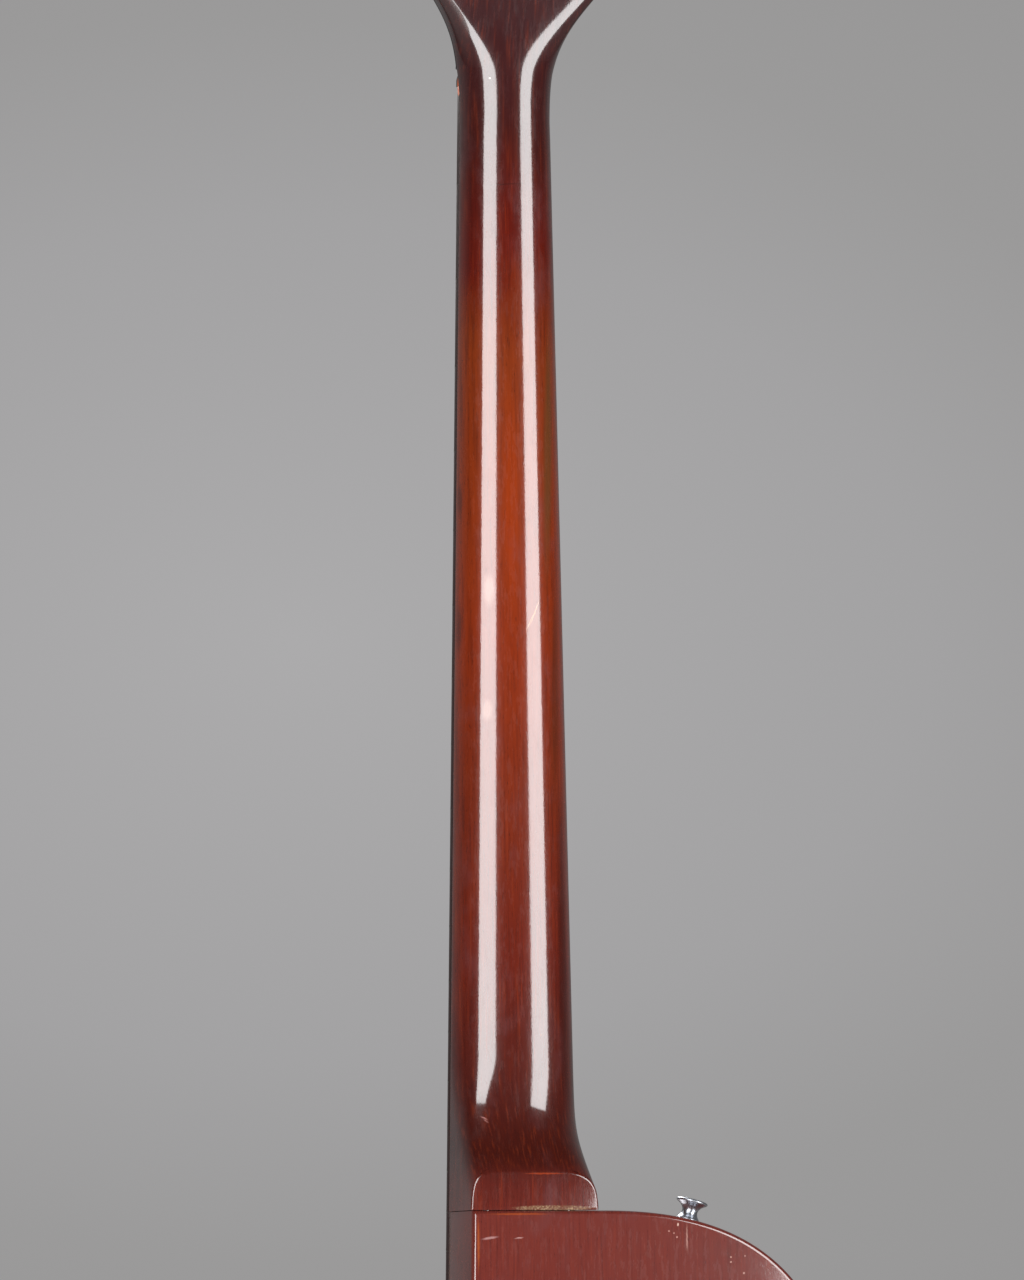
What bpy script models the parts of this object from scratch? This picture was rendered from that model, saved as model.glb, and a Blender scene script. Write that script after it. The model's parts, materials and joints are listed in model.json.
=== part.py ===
"""Electric bass guitar, modelled as the separate pieces it is assembled from.

The bass stands upright. +Z runs up the neck, the strings face +Y and the flat
back of the body faces -Y. +X is the bass side and -X the treble side with the
cutaway. The origin lies on the back of the body, on the centre line, level
with the saddles. All lengths are in metres.
"""

import math
from collections import namedtuple

import bmesh
import bpy
from mathutils import Matrix, Vector
from mathutils.geometry import interpolate_bezier

for old in list(bpy.data.objects):
    bpy.data.objects.remove(old, do_unlink=True)

MM = 0.001
GAP = 0.3 * MM

# Scale: distance from saddle line to nut, and the frets that divide it
SCALE = 774.7 * MM
FRETS = 20
JOINT_FRET = 17


def fret_z(number):
    """Height of a fret above the saddle line, by the twelfth root of two."""
    return SCALE * 2 ** (-number / 12)


# Neck and fingerboard
JOINT_Z = fret_z(JOINT_FRET)
BOARD_END = 235 * MM
BOARD_THICKNESS = 6 * MM
BOARD_CROWN = 1.2 * MM
FRET_HEIGHT = 1.2 * MM
NUT_HALF_WIDTH = 19.6 * MM
JOINT_HALF_WIDTH = 27.7 * MM
DEPTH_AT_FRET_1 = 15.4 * MM
DEPTH_AT_FRET_12 = 17.4 * MM
SWEEP_LENGTH = 62 * MM
SWEEP_DEPTH = 31 * MM
# The section turns square towards the joint: over what length, by how much, how late
BASS_SQUARING = (50 * MM, 11, 3)
TREBLE_SQUARING = (64 * MM, 10, 1.7)
FACET_Y = 2.5 * MM
TENON_HALF_WIDTH = 19 * MM
TENON_DEPTH = 26 * MM
TENON_END = BOARD_END + 1 * MM
NECK_SIDES = 22
ROUND_POWER = 2.05

# Body slab
BODY_THICKNESS = 37.5 * MM
BODY_EDGE = 2.2 * MM
BODY_BOTTOM = -175 * MM
GLUE_Y = BODY_THICKNESS
BOARD_TOP = GLUE_Y + BOARD_THICKNESS

# Headstock, tilted back behind the nut
NUT_THICKNESS = 5 * MM
TILT = math.radians(15)
BEND_LENGTH = 62 * MM
HEAD_THICKNESS = 13.2 * MM
HEAD_SQUARENESS = 4
VENEER = 1.5 * MM
HEAD_LENGTH = 168 * MM

# Strings, from the bass side. Side and row say which tuner, turns how often the
# string goes round its post, set_back how far its saddle is behind the saddle line
String = namedtuple("String", "pitch gauge side row turns set_back")
STRINGS = (
    String("e", 2.6 * MM, 1, 0, 2, 3.5 * MM),
    String("a", 2.1 * MM, 1, 1, 2, 2.4 * MM),
    String("d", 1.65 * MM, -1, 1, 2, 1.3 * MM),
    String("g", 1.15 * MM, -1, 0, 3, 0.2 * MM),
)
BRIDGE_SPACING = 19 * MM
NUT_SPACING = 10.4 * MM
NUT_STRING_BOTTOM = BOARD_TOP + 1.8 * MM
SADDLE_STRING_BOTTOM = BOARD_TOP + 5.6 * MM
POINTS_A_LOOP = 24
LOOP_CLEARANCE = 0.55 * MM

# Tuners
TUNER_ROWS = (60 * MM, 120 * MM)
POST_OFFSET = 27 * MM
POST_RADIUS = 5 * MM
POST_LIP = 5.6 * MM
SHAFT_RADIUS = 4 * MM
POST_HOLE = 6.2 * MM
GEAR_RADIUS = 6.5 * MM
WORM_RADIUS = 2.6 * MM
WORM_OFFSET = GEAR_RADIUS + WORM_RADIUS + 0.4 * MM
HOUSING_HALF_WIDTH = 9.5 * MM
HOUSING_HEIGHT = 9.7 * MM
HOUSING_WALL = 1.8 * MM
HOUSING_TOP = -(HEAD_THICKNESS + VENEER + 3 * GAP)
HOUSING_FLOOR = HOUSING_TOP - HOUSING_HEIGHT
HOUSING_END = WORM_OFFSET + WORM_RADIUS + 0.4 * MM
WORM_HEIGHT = HOUSING_TOP - 4.6 * MM
TOOTH_DEPTH = 1.1 * MM

# Bridge
BRIDGE_HALF_WIDTH = 49.5 * MM
BRIDGE_BOTTOM = BODY_THICKNESS + 2 * MM
BRIDGE_TOP = BODY_THICKNESS + 10 * MM
BRIDGE_FLOOR = BODY_THICKNESS + 4.5 * MM
STRING_ANCHOR_Y = BODY_THICKNESS + 7 * MM
BRIDGE_REAR = -27 * MM
BRIDGE_FRONT = 17 * MM
WELL_REAR = -18 * MM
WELL_FRONT = 12.5 * MM
WELL_HALF_WIDTH = 36 * MM
SADDLE_WIDTH = 11 * MM
SADDLE_LENGTH = 8 * MM
SADDLE_CROWN_RADIUS = 3.2 * MM
SADDLE_SHOULDER = 2.5 * MM
SCREW_Y = BODY_THICKNESS + 7.2 * MM
STUD_X = 43 * MM
STUD_HOLE = 4.8 * MM
STUD_HOLE_END = BODY_THICKNESS - 22.5 * MM
STUD_SEAT = 4.4 * MM

# Pickups, controls and jack
PICKUP_SIZE = (89 * MM, 38 * MM)
PICKUP_CENTRES = (("neck", 176 * MM), ("bridge", 78 * MM))
PICKUP_BOTTOM = BODY_THICKNESS - 16.5 * MM
PICKUP_TOP = BODY_THICKNESS + 5 * MM
CONTROL_START = Vector((-126 * MM, 0, -8 * MM))
CONTROL_STEP = Vector((13 * MM, 0, -33 * MM))
CONTROL_NAMES = ("neck_volume", "bridge_volume", "tone")
CONTROL_ROOF = BODY_THICKNESS - 6.5 * MM
CAVITY_HALF_WIDTH = 17 * MM
COVER_MARGIN = 6 * MM
COVER_THICKNESS = 2.2 * MM
CONTROL_HOLE = 4.8 * MM
JACK_PLATE_HALF = 16 * MM

# Strap buttons
BUTTON_X = 71.4 * MM
BUTTON_SCREW_RADIUS = 2.1 * MM
BUTTON_SCREW_DEPTH = 24 * MM


def half_width(z):
    """Half the width of the neck and fingerboard at a height."""
    slope = (JOINT_HALF_WIDTH - NUT_HALF_WIDTH) / (SCALE - JOINT_Z)
    return NUT_HALF_WIDTH + (SCALE - z) * slope


# Finishes


def finish(name, srgb, roughness, metallic=0.0):
    """A plain material from a colour as it is seen on screen."""
    material = bpy.data.materials.new(name)
    material.use_nodes = True
    shader = material.node_tree.nodes["Principled BSDF"]
    linear = [(part / 255) ** 2.2 for part in srgb]
    shader.inputs["Base Color"].default_value = (*linear, 1)
    shader.inputs["Roughness"].default_value = roughness
    shader.inputs["Metallic"].default_value = metallic
    return material


CHERRY = finish("cherry_lacquer_mahogany", (110, 45, 25), 0.18)
EBONY = finish("dark_fingerboard_wood", (52, 34, 26), 0.5)
BLACK = finish("black_plastic", (22, 22, 23), 0.4)
BONE = finish("bone", (226, 218, 196), 0.45)
NICKEL = finish("nickel_plate", (176, 172, 164), 0.25, 1)
STEEL = finish("steel", (150, 150, 152), 0.3, 1)
BRASS = finish("brass", (196, 158, 84), 0.35, 1)
WOUND = finish("wound_steel_string", (168, 166, 160), 0.35, 1)


# Shaping tools


def add_object(name, shape, material, place=None):
    """Turn a bmesh into a named object at a place."""
    bmesh.ops.recalc_face_normals(shape, faces=shape.faces)
    mesh = bpy.data.meshes.new(name)
    shape.to_mesh(mesh)
    shape.free()
    mesh.materials.append(material)
    mesh.shade_smooth()
    mesh.set_sharp_from_angle(angle=math.radians(35))
    piece = bpy.data.objects.new(name, mesh)
    piece.matrix_world = place or Matrix()
    bpy.context.collection.objects.link(piece)
    return piece


def loft(rings):
    """A closed shape through rings of points, by extruding one face on."""
    shape = bmesh.new()
    first = shape.faces.new([shape.verts.new(point) for point in rings[0]])
    end = first
    for ring in rings[1:]:
        made = bmesh.ops.extrude_face_region(shape, geom=[end])["geom"]
        if end is not first:
            bmesh.ops.delete(shape, geom=[end], context="FACES_ONLY")
        end = next(part for part in made if isinstance(part, bmesh.types.BMFace))
        for vertex, point in zip(end.verts, ring):
            vertex.co = point
    return shape


def turned(profile, sides):
    """A shape turned about Z from a profile of (radius, height) points."""
    shape = bmesh.new()
    points = [shape.verts.new((radius, 0, height)) for radius, height in profile]
    edges = [shape.edges.new(pair) for pair in zip(points, points[1:])]
    bmesh.ops.spin(
        shape,
        geom=points + edges,
        cent=(0, 0, 0),
        axis=(0, 0, 1),
        angle=math.tau,
        steps=sides,
        use_duplicate=False,
    )
    bmesh.ops.remove_doubles(shape, verts=shape.verts, dist=0.001 * MM)
    return shape


def box(low, high):
    """A box between two corners."""
    low = Vector(low)
    high = Vector(high)
    shape = bmesh.new()
    size = high - low
    place = Matrix.Translation((low + high) / 2) @ Matrix.Diagonal((*size, 1))
    bmesh.ops.create_cube(shape, size=1, matrix=place)
    return shape


def rod(start, end, radius, sides):
    """A cylinder between two points."""
    start = Vector(start)
    end = Vector(end)
    run = end - start
    shape = bmesh.new()
    turn = run.to_track_quat("Z", "Y").to_matrix().to_4x4()
    bmesh.ops.create_cone(
        shape,
        cap_ends=True,
        segments=sides,
        radius1=radius,
        radius2=radius,
        depth=run.length,
        matrix=Matrix.Translation((start + end) / 2) @ turn,
    )
    return shape


def plate(outline, low, high):
    """A flat plate: an outline of (x, z) points between two y levels."""
    return loft([[Vector((x, y, z)) for x, z in outline] for y in (low, high)])


def cut(piece, name, shape, place=None):
    """Cut a shape out of a piece with a hidden cutter."""
    cutter = add_object(name, shape, BLACK, place)
    cutter.hide_render = True
    cutter.display_type = "WIRE"
    hole = piece.modifiers.new(name, "BOOLEAN")
    hole.operation = "DIFFERENCE"
    hole.object = cutter


def bevel(piece, width, segments, limit="ANGLE"):
    """Round the edges of a piece that are sharp, or that carry a weight."""
    edge = piece.modifiers.new("rounded_edges", "BEVEL")
    edge.width = width
    edge.segments = segments
    edge.limit_method = limit
    edge.angle_limit = math.radians(50)


def curve_points(ends, steps):
    """Points along a cubic curve given by two ends and two handles, in mm."""
    knots = [Vector((x * MM, z * MM, 0)) for x, z in ends]
    start, start_handle, end_handle, end = knots
    points = interpolate_bezier(start, start_handle, end_handle, end, steps)
    return [(point.x, point.y) for point in points]


def rounded_bar(start, end, radius, steps=6):
    """The outline of a bar with round ends between two (x, z) points."""
    start = Vector(start)
    end = Vector(end)
    heading = math.atan2(end.y - start.y, end.x - start.x)
    outline = []
    for centre, first in ((end, -90), (start, 90)):
        for step in range(steps + 1):
            angle = heading + math.radians(first + 180 * step / steps)
            outline.append((centre.x + radius * math.cos(angle), centre.y + radius * math.sin(angle)))
    return outline


def facing_front(x, y, z):
    """A place whose own Z points to the front of the bass."""
    return Matrix.Translation((x, y, z)) @ Matrix.Rotation(math.radians(-90), 4, "X")


# Body

SHOULDER = ((30, 0), (75, 0), (134, -12), (134, -100))


def body_outline():
    """The slab's outline, clockwise from the bass side of the neck joint."""
    joint = JOINT_Z / MM
    shoulder = [(x, joint + drop) for x, drop in SHOULDER]
    crotch = 222
    wall = half_width(crotch * MM) / MM
    sections = (
        (shoulder, 12),
        (((134, joint - 100), (134, joint - 145), (111, 122), (111, 88)), 6),
        (((111, 88), (111, 40), (178, 8), (178, -58)), 9),
        (((178, -58), (178, -126), (98, -175), (0, -175)), 11),
        (((0, -175), (-98, -175), (-178, -126), (-178, -58)), 11),
        (((-178, -58), (-178, 8), (-111, 40), (-111, 88)), 9),
        (((-111, 88), (-111, 125), (-131, 150), (-131, 198)), 7),
        (((-131, 198), (-131, 232), (-122, 250), (-106, 250)), 6),
        (((-106, 250), (-84, 250), (-82, 196), (-57, 196)), 9),
        (((-57, 196), (-41, 196), (-wall, 206), (-wall, crotch)), 7),
    )
    outline = []
    for ends, steps in sections:
        outline += curve_points(ends, steps)[:-1]
    outline.append((-wall * MM, crotch * MM))
    outline.append((-JOINT_HALF_WIDTH, JOINT_Z))
    return outline


def shoulder_point(x):
    """The shoulder's place at x, with its outward direction."""
    points = curve_points(SHOULDER, 60)
    for (x0, z0), (x1, z1) in zip(points, points[1:]):
        if x0 <= x <= x1:
            share = (x - x0) / (x1 - x0)
            away = Vector((z0 - z1, 0, x1 - x0)).normalized()
            return Vector((x, 0, JOINT_Z + z0 + share * (z1 - z0))), away
    raise ValueError("x is off the shoulder")


def control_place(index):
    """The centre of a control on the slanted line of knobs and jack."""
    return CONTROL_START + CONTROL_STEP * index


def control_outline(radius):
    """The outline of the control cavity or its cover."""
    first = control_place(0)
    last = control_place(len(CONTROL_NAMES))
    return rounded_bar((first.x, first.z), (last.x, last.z), radius)


def make_body():
    body = add_object("body", plate(body_outline(), 0, BODY_THICKNESS), CHERRY)
    bevel(body, BODY_EDGE, 2, limit="WEIGHT")
    weights = body.data.attributes.new("bevel_weight_edge", "FLOAT", "EDGE")
    for edge in body.data.edges:
        start, end = (body.data.vertices[corner].co for corner in edge.vertices)
        weights.data[edge.index].value = float(abs(start.y - end.y) < GAP)
    pocket_side = TENON_HALF_WIDTH + GAP
    cut(
        body,
        "neck_pocket",
        box(
            (-pocket_side, GLUE_Y - TENON_DEPTH - GAP, TENON_END - GAP),
            (pocket_side, GLUE_Y + 2 * MM, JOINT_Z + 2 * MM),
        ),
    )
    width, length = PICKUP_SIZE
    for name, z in PICKUP_CENTRES:
        side = width / 2 + 0.6 * MM
        reach = length / 2 + 0.6 * MM
        cut(
            body,
            name + "_rout",
            box((-side, PICKUP_BOTTOM - 2 * MM, z - reach), (side, GLUE_Y + 2 * MM, z + reach)),
        )
    cavity = control_outline(CAVITY_HALF_WIDTH)
    cut(body, "control_cavity", plate(cavity, -1 * MM, CONTROL_ROOF))
    recess = control_outline(CAVITY_HALF_WIDTH + COVER_MARGIN + GAP)
    cut(body, "cover_recess", plate(recess, -1 * MM, COVER_THICKNESS + 2 * GAP))
    for index in range(len(CONTROL_NAMES) + 1):
        spot = control_place(index)
        hole = rod((spot.x, CONTROL_ROOF - 3 * MM, spot.z), (spot.x, GLUE_Y + 2 * MM, spot.z), CONTROL_HOLE, 12)
        cut(body, "control_hole_%d" % index, hole)
    for name, x in (("bass", STUD_X), ("treble", -STUD_X)):
        hole = rod((x, STUD_HOLE_END, 0), (x, GLUE_Y + 2 * MM, 0), STUD_HOLE, 12)
        cut(body, "stud_hole_" + name, hole)
    for name, place in button_places():
        hole = rod((0, 0, -BUTTON_SCREW_DEPTH), (0, 0, 2 * MM), BUTTON_SCREW_RADIUS + GAP, 10)
        cut(body, "button_hole_" + name, hole, place)


# Neck with heel, tenon and headstock


def section(half, depth, bass_power, treble_power, steps=NECK_SIDES - 1):
    """Half a rounded section: x and depth from one front edge to the other."""
    points = []
    for step in range(steps + 1):
        angle = math.pi * step / steps
        power = bass_power if step < steps / 2 else treble_power
        x = half * math.copysign(abs(math.cos(angle)) ** (2 / power), math.cos(angle))
        points.append((x, depth * math.sin(angle) ** (2 / power)))
    return points


def neck_depth(z):
    """Depth of the neck below the glue plane, with the sweep into the heel."""
    slope = (DEPTH_AT_FRET_12 - DEPTH_AT_FRET_1) / (fret_z(1) - fret_z(12))
    depth = DEPTH_AT_FRET_12 - (z - fret_z(12)) * slope
    sweep = max(0, JOINT_Z + SWEEP_LENGTH - z) / SWEEP_LENGTH
    return depth + SWEEP_DEPTH * sweep ** 2


def neck_power(z, squaring):
    """How square one side of the section is: round along the neck, square at the heel."""
    length, gain, sharpness = squaring
    squareness = max(0, JOINT_Z + length - z) / length
    return ROUND_POWER + gain * squareness**sharpness


def head_direction(tilt):
    """Directions up the headstock and out of its front at a tilt."""
    up = Vector((0, -math.sin(tilt), math.cos(tilt)))
    front = Vector((0, math.cos(tilt), math.sin(tilt)))
    return up, front


HEAD_UP, HEAD_FRONT = head_direction(TILT)
HEAD_WOOD_START = Vector((0, GLUE_Y, SCALE + NUT_THICKNESS + 2 * GAP))
HEAD_START = HEAD_WOOD_START + HEAD_FRONT * (VENEER + GAP)


def head_point(x, s, h):
    """A point of the headstock: x, distance up it, height above its veneer."""
    return HEAD_START + Vector((x, 0, 0)) + HEAD_UP * s + HEAD_FRONT * h


def head_place(x, s, h):
    """A place on the headstock whose own Z points out of its front."""
    return Matrix.Translation(head_point(x, s, h)) @ Matrix.Rotation(TILT - math.pi / 2, 4, "X")


FLARE = ((-22, 19.8), (16, 19.8), (23, 27.5), (50, 49))
HEAD_SIDE = ((50, 49), (58, 55.4), (104, 41), (138, 39))


def head_outline():
    """Distance up the headstock and half width, from the nut to the crown."""
    sides = [(s, width) for s, width in curve_points(FLARE, 15) if s > 0]
    sides += curve_points(HEAD_SIDE, 7)[1:]
    top = []
    start, half = (value * MM for value in HEAD_SIDE[-1])
    for share in (0.3, 0.55, 0.75, 0.88, 0.96):
        width = half * (1 - share**3) ** (1 / 3)
        top.append((start + share * (HEAD_LENGTH - start), width))
    return sides + top


def make_neck():
    rings = []
    for z in (TENON_END, JOINT_Z + GAP):
        shape = section(TENON_HALF_WIDTH, TENON_DEPTH - GAP, 24, 24)
        rings.append([Vector((x, GLUE_Y - GAP - depth, z)) for x, depth in shape])
    heel = (0, 4, 8, 11, 14, 17, 21, 26, 32, 39, 47, 56, 66)
    stations = [JOINT_Z + GAP + step * MM for step in heel]
    stations += [fret_z(number) for number in (11, 7, 4, 1)]
    for z in stations:
        powers = (neck_power(z, BASS_SQUARING), neck_power(z, TREBLE_SQUARING))
        shape = section(half_width(z), neck_depth(z), *powers)
        rings.append([Vector((x, GLUE_Y - depth, z)) for x, depth in shape])
    flat = [(s, width) for s, width in curve_points(FLARE, 12) if s < 0]
    stations = [(HEAD_WOOD_START + Vector((0, 0, s)), s, width) for s, width in flat]
    stations += [(HEAD_WOOD_START + HEAD_UP * s, s, width) for s, width in head_outline()]
    for front, s, width in stations:
        share = min(1, (s - flat[0][0]) / BEND_LENGTH)
        ease = share * share * (3 - 2 * share)
        depth = DEPTH_AT_FRET_1 + (HEAD_THICKNESS - DEPTH_AT_FRET_1) * ease
        up, out = head_direction(TILT * ease)
        power = ROUND_POWER + HEAD_SQUARENESS * ease**3
        shape = section(width, depth, power, power)
        rings.append([front + Vector((x, 0, 0)) - out * below for x, below in shape])
    neck = add_object("neck", loft(rings), CHERRY)
    half = 40 * MM
    cut(neck, "facet_plane", box((-half, -half, JOINT_Z - 5 * MM), (half, FACET_Y, JOINT_Z + half)))
    cut(
        neck,
        "truss_channel",
        box((-3.3 * MM, GLUE_Y - 12 * MM, 250 * MM), (3.3 * MM, GLUE_Y + MM, SCALE + 12 * MM)),
    )
    cut(
        neck,
        "truss_pocket",
        box((-6.5 * MM, GLUE_Y - 14.5 * MM, SCALE + 11 * MM), (6.5 * MM, GLUE_Y + MM, SCALE + 34 * MM)),
    )
    for pitch, x, s in post_spots():
        hole = rod(head_point(x, s, -20 * MM), head_point(x, s, 5 * MM), POST_HOLE, 16)
        cut(neck, "post_hole_" + pitch, hole)


def make_veneer():
    outline = head_outline()
    edge = [(0.4 * MM, outline[0][1])] + outline
    right = [head_point(width, s, 0) for s, width in edge]
    left = [head_point(-width, s, 0) for s, width in reversed(edge)]
    ring = right + left
    back = [point - HEAD_FRONT * VENEER for point in ring]
    veneer = add_object("headstock_veneer", loft([back, ring]), BLACK)
    window = box((-6.5 * MM, GLUE_Y - 30 * MM, SCALE + 11 * MM), (6.5 * MM, GLUE_Y + MM, SCALE + 34 * MM))
    cut(veneer, "veneer_window", window)
    for pitch, x, s in post_spots():
        hole = rod(head_point(x, s, -4 * MM), head_point(x, s, 3 * MM), POST_HOLE, 16)
        cut(veneer, "veneer_hole_" + pitch, hole)


def make_fingerboard():
    """The board in one loft, its crowned top raised where a fret crosses."""
    stations = [(BOARD_END, 0)]
    for number in range(FRETS, 0, -1):
        z = fret_z(number)
        for offset, lift in ((-1.2, 0), (-0.8, 1), (0.8, 1), (1.2, 0)):
            stations.append((z + offset * MM, lift * FRET_HEIGHT))
    stations.append((SCALE - GAP, 0))
    rings = []
    for z, lift in stations:
        half = half_width(z)
        ring = [Vector((-half, GLUE_Y + GAP, z)), Vector((half, GLUE_Y + GAP, z))]
        for share in (1, 0.45, -0.45, -1):
            y = BOARD_TOP - BOARD_CROWN * share**2 + lift
            ring.append(Vector((half * share, y, z)))
        rings.append(ring)
    add_object("fingerboard", loft(rings), EBONY)


def make_nut():
    low = (-NUT_HALF_WIDTH, GLUE_Y + GAP, SCALE)
    high = (NUT_HALF_WIDTH, NUT_STRING_BOTTOM + 2 * MM, SCALE + NUT_THICKNESS)
    nut = add_object("nut", box(low, high), BONE)
    for index, string in enumerate(STRINGS):
        start, run = nut_run(index)
        side = string.gauge / 2 + GAP
        slot = box((-side, -side, -8 * MM), (side, 8 * MM, 8 * MM))
        place = Matrix.Translation(start) @ run.to_track_quat("Z", "Y").to_matrix().to_4x4()
        cut(nut, "nut_slot_" + string.pitch, slot, place)


def make_truss_rod():
    axis_y = GLUE_Y - 8.5 * MM
    steel = rod((0, axis_y, 256 * MM), (0, axis_y, SCALE + 22 * MM), 2.9 * MM, 10)
    add_object("truss_rod", steel, STEEL)
    profile = ((3.8, -4), (5.2, -4), (5.2, 4), (3.8, 4), (3.8, -4))
    hexagon = turned([(r * MM, z * MM) for r, z in profile], 6)
    add_object("truss_rod_nut", hexagon, BRASS, Matrix.Translation((0, axis_y, SCALE + 16 * MM)))
    rings = [[head_point(x, s, h) for x, s in bell_outline()] for h in (GAP, 2 * MM)]
    add_object("truss_rod_cover", loft(rings), BLACK)


def bell_outline():
    """The truss rod cover: a wide round foot drawn in to a narrow round top."""
    outline = []
    for centre, radius, first, last in ((14, 11, 150, 390), (42, 5, 20, 160)):
        for step in range(9):
            angle = math.radians(first + (last - first) * step / 8)
            x = radius * math.cos(angle) * MM
            outline.append((x, (centre + radius * math.sin(angle)) * MM))
    return outline


# Tuners


def post_spots():
    """Each string's tuner: pitch, x and distance up the headstock."""
    return [(string.pitch, string.side * POST_OFFSET, TUNER_ROWS[string.row]) for string in STRINGS]


def make_tuner(pitch, x, s):
    """One tuner: housing behind the head, key with its worm, post with its gear, bushing."""
    place = head_place(x, s, 0)
    side = math.copysign(1, x)
    make_housing(pitch, place, side)
    make_key(pitch, place @ Matrix.Translation((0, -WORM_OFFSET, WORM_HEIGHT)), side)
    make_post(pitch, place)
    tube = ((4.4, -8), (5.9, -8), (5.9, 0.3), (9, 0.3), (9, 1.4), (8.4, 2), (4.4, 2), (4.4, -8))
    profile = [(r * MM, h * MM) for r, h in tube]
    add_object("post_bushing_" + pitch, turned(profile, 14), NICKEL, place)


def make_housing(pitch, place, side):
    half = HOUSING_HALF_WIDTH
    near_end = 9 * MM
    shell = box((-half, -HOUSING_END - HOUSING_WALL, HOUSING_FLOOR), (half, near_end, HOUSING_TOP))
    housing = add_object("tuner_housing_" + pitch, shell, NICKEL, place)
    bevel(housing, 1.2 * MM, 1)
    inside = half - HOUSING_WALL
    hollow = box(
        (-inside, -HOUSING_END, HOUSING_FLOOR + HOUSING_WALL),
        (inside, near_end - HOUSING_WALL, HOUSING_TOP + MM),
    )
    cut(housing, "housing_hollow_" + pitch, hollow, place)
    start = (side * 5 * MM, -WORM_OFFSET, WORM_HEIGHT)
    end = (side * 12 * MM, -WORM_OFFSET, WORM_HEIGHT)
    cut(housing, "shaft_hole_" + pitch, rod(start, end, 2.4 * MM, 12), place)


def make_key(pitch, place, side):
    """Worm, shaft and oval paddle in one loft: each ring is (reach, width, thickness)."""
    along = ((-6.5, 2.6, 2.6), (6.5, 2.6, 2.6), (6.5, 2, 2), (17, 2, 2), (17, 3.4, 3.4), (20, 3, 3), (23, 4, 3))
    along += ((27, 9.5, 3.2), (34, 13, 3.2), (41, 11.5, 3.1), (45, 7, 2.4), (46.5, 3, 1))
    rings = []
    for reach, wide, thick in along:
        ring = []
        for step in range(12):
            angle = math.tau * step / 12
            ring.append(Vector((side * reach, wide * math.cos(angle), thick * math.sin(angle))) * MM)
        rings.append(ring)
    add_object("tuner_key_" + pitch, loft(rings), NICKEL, place)


def make_post(pitch, place):
    """The post with its gear wheel: each ring is (radius, height, toothed or not)."""
    foot = HOUSING_FLOOR + HOUSING_WALL + GAP
    gear_low = foot + MM
    gear_high = foot + 5.6 * MM
    profile = (
        (3.4 * MM, foot, 0),
        (3.4 * MM, gear_low, 0),
        (GEAR_RADIUS, gear_low, 1),
        (GEAR_RADIUS, gear_high, 1),
        (SHAFT_RADIUS, gear_high, 0),
        (SHAFT_RADIUS, 2.4 * MM, 0),
        (POST_LIP, 2.4 * MM, 0),
        (POST_LIP, 3 * MM, 0),
        (POST_RADIUS, 3.3 * MM, 0),
        (POST_RADIUS, 15.2 * MM, 0),
        (POST_LIP, 16.2 * MM, 0),
        (POST_LIP, 18.6 * MM, 0),
        (POST_LIP - 0.5 * MM, 19 * MM, 0),
    )
    rings = []
    for radius, height, toothed in profile:
        ring = []
        for step in range(16):
            angle = math.tau * step / 16
            length = radius - toothed * (step % 2) * TOOTH_DEPTH
            ring.append(Vector((length * math.cos(angle), length * math.sin(angle), height)))
        rings.append(ring)
    post = add_object("tuner_post_" + pitch, loft(rings), NICKEL, place)
    slot = box((-1.6 * MM, -8 * MM, 16.4 * MM), (1.6 * MM, 8 * MM, 21 * MM))
    cut(post, "string_slot_" + pitch, slot, place)


# Strings


def string_x(index, spacing):
    """Sideways place of a string, counted from the bass side."""
    return (len(STRINGS) / 2 - 0.5 - index) * spacing


def winding_start(index):
    """Where a string first touches its turns: centre, radius, angle, sense."""
    string = STRINGS[index]
    centre = Vector((string.side * POST_OFFSET, TUNER_ROWS[string.row]))
    radius = POST_RADIUS + string.gauge / 2 + 0.35 * MM
    nut = Vector((string_x(index, NUT_SPACING), -NUT_THICKNESS))
    run = centre - nut
    lean = math.asin(radius / run.length) * string.side
    direction = Matrix.Rotation(lean, 2) @ run.normalized()
    length = math.sqrt(run.length**2 - radius**2)
    touch = nut + direction * length
    angle = math.atan2(touch.y - centre.y, touch.x - centre.x)
    return centre, radius, angle, -string.side


def first_turn_height(index):
    """Height above the veneer of the string's first turn."""
    return 3.6 * MM + STRINGS[index].gauge / 2


def around_post(index, share):
    """A point of the string's turns after a share of a turn."""
    centre, radius, angle, sense = winding_start(index)
    turn = angle + sense * math.tau * share
    rise = (STRINGS[index].gauge + LOOP_CLEARANCE) * share
    x = centre.x + radius * math.cos(turn)
    s = centre.y + radius * math.sin(turn)
    return head_point(x, s, first_turn_height(index) + rise)


def nut_run(index):
    """Where the string crosses the nut and its direction towards its post."""
    height = NUT_STRING_BOTTOM + STRINGS[index].gauge / 2
    start = Vector((string_x(index, NUT_SPACING), height, SCALE))
    return start, (around_post(index, 0) - start).normalized()


def string_path(index):
    """The string's centre line: rear wall, saddle, nut, then turns on its post."""
    string = STRINGS[index]
    bridge_x = string_x(index, BRIDGE_SPACING)
    saddle_y = SADDLE_STRING_BOTTOM + string.gauge / 2
    path = [
        Vector((bridge_x, STRING_ANCHOR_Y, BRIDGE_REAR - 2.5 * MM)),
        Vector((bridge_x, saddle_y, -string.set_back - 3.3 * MM)),
        nut_run(index)[0],
    ]
    count = string.turns * POINTS_A_LOOP
    path += [around_post(index, step / POINTS_A_LOOP) for step in range(count + 1)]
    path.append(path[-1] + (path[-1] - path[-2]).normalized() * string.gauge)
    return path


def least_gap(path, gauge):
    """The smallest gap between turns, measured on points half a loop apart."""
    apart = POINTS_A_LOOP // 2
    nearest = min(
        (first - second).length
        for place, first in enumerate(path)
        for second in path[place + apart :]
    )
    return nearest - gauge


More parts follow.
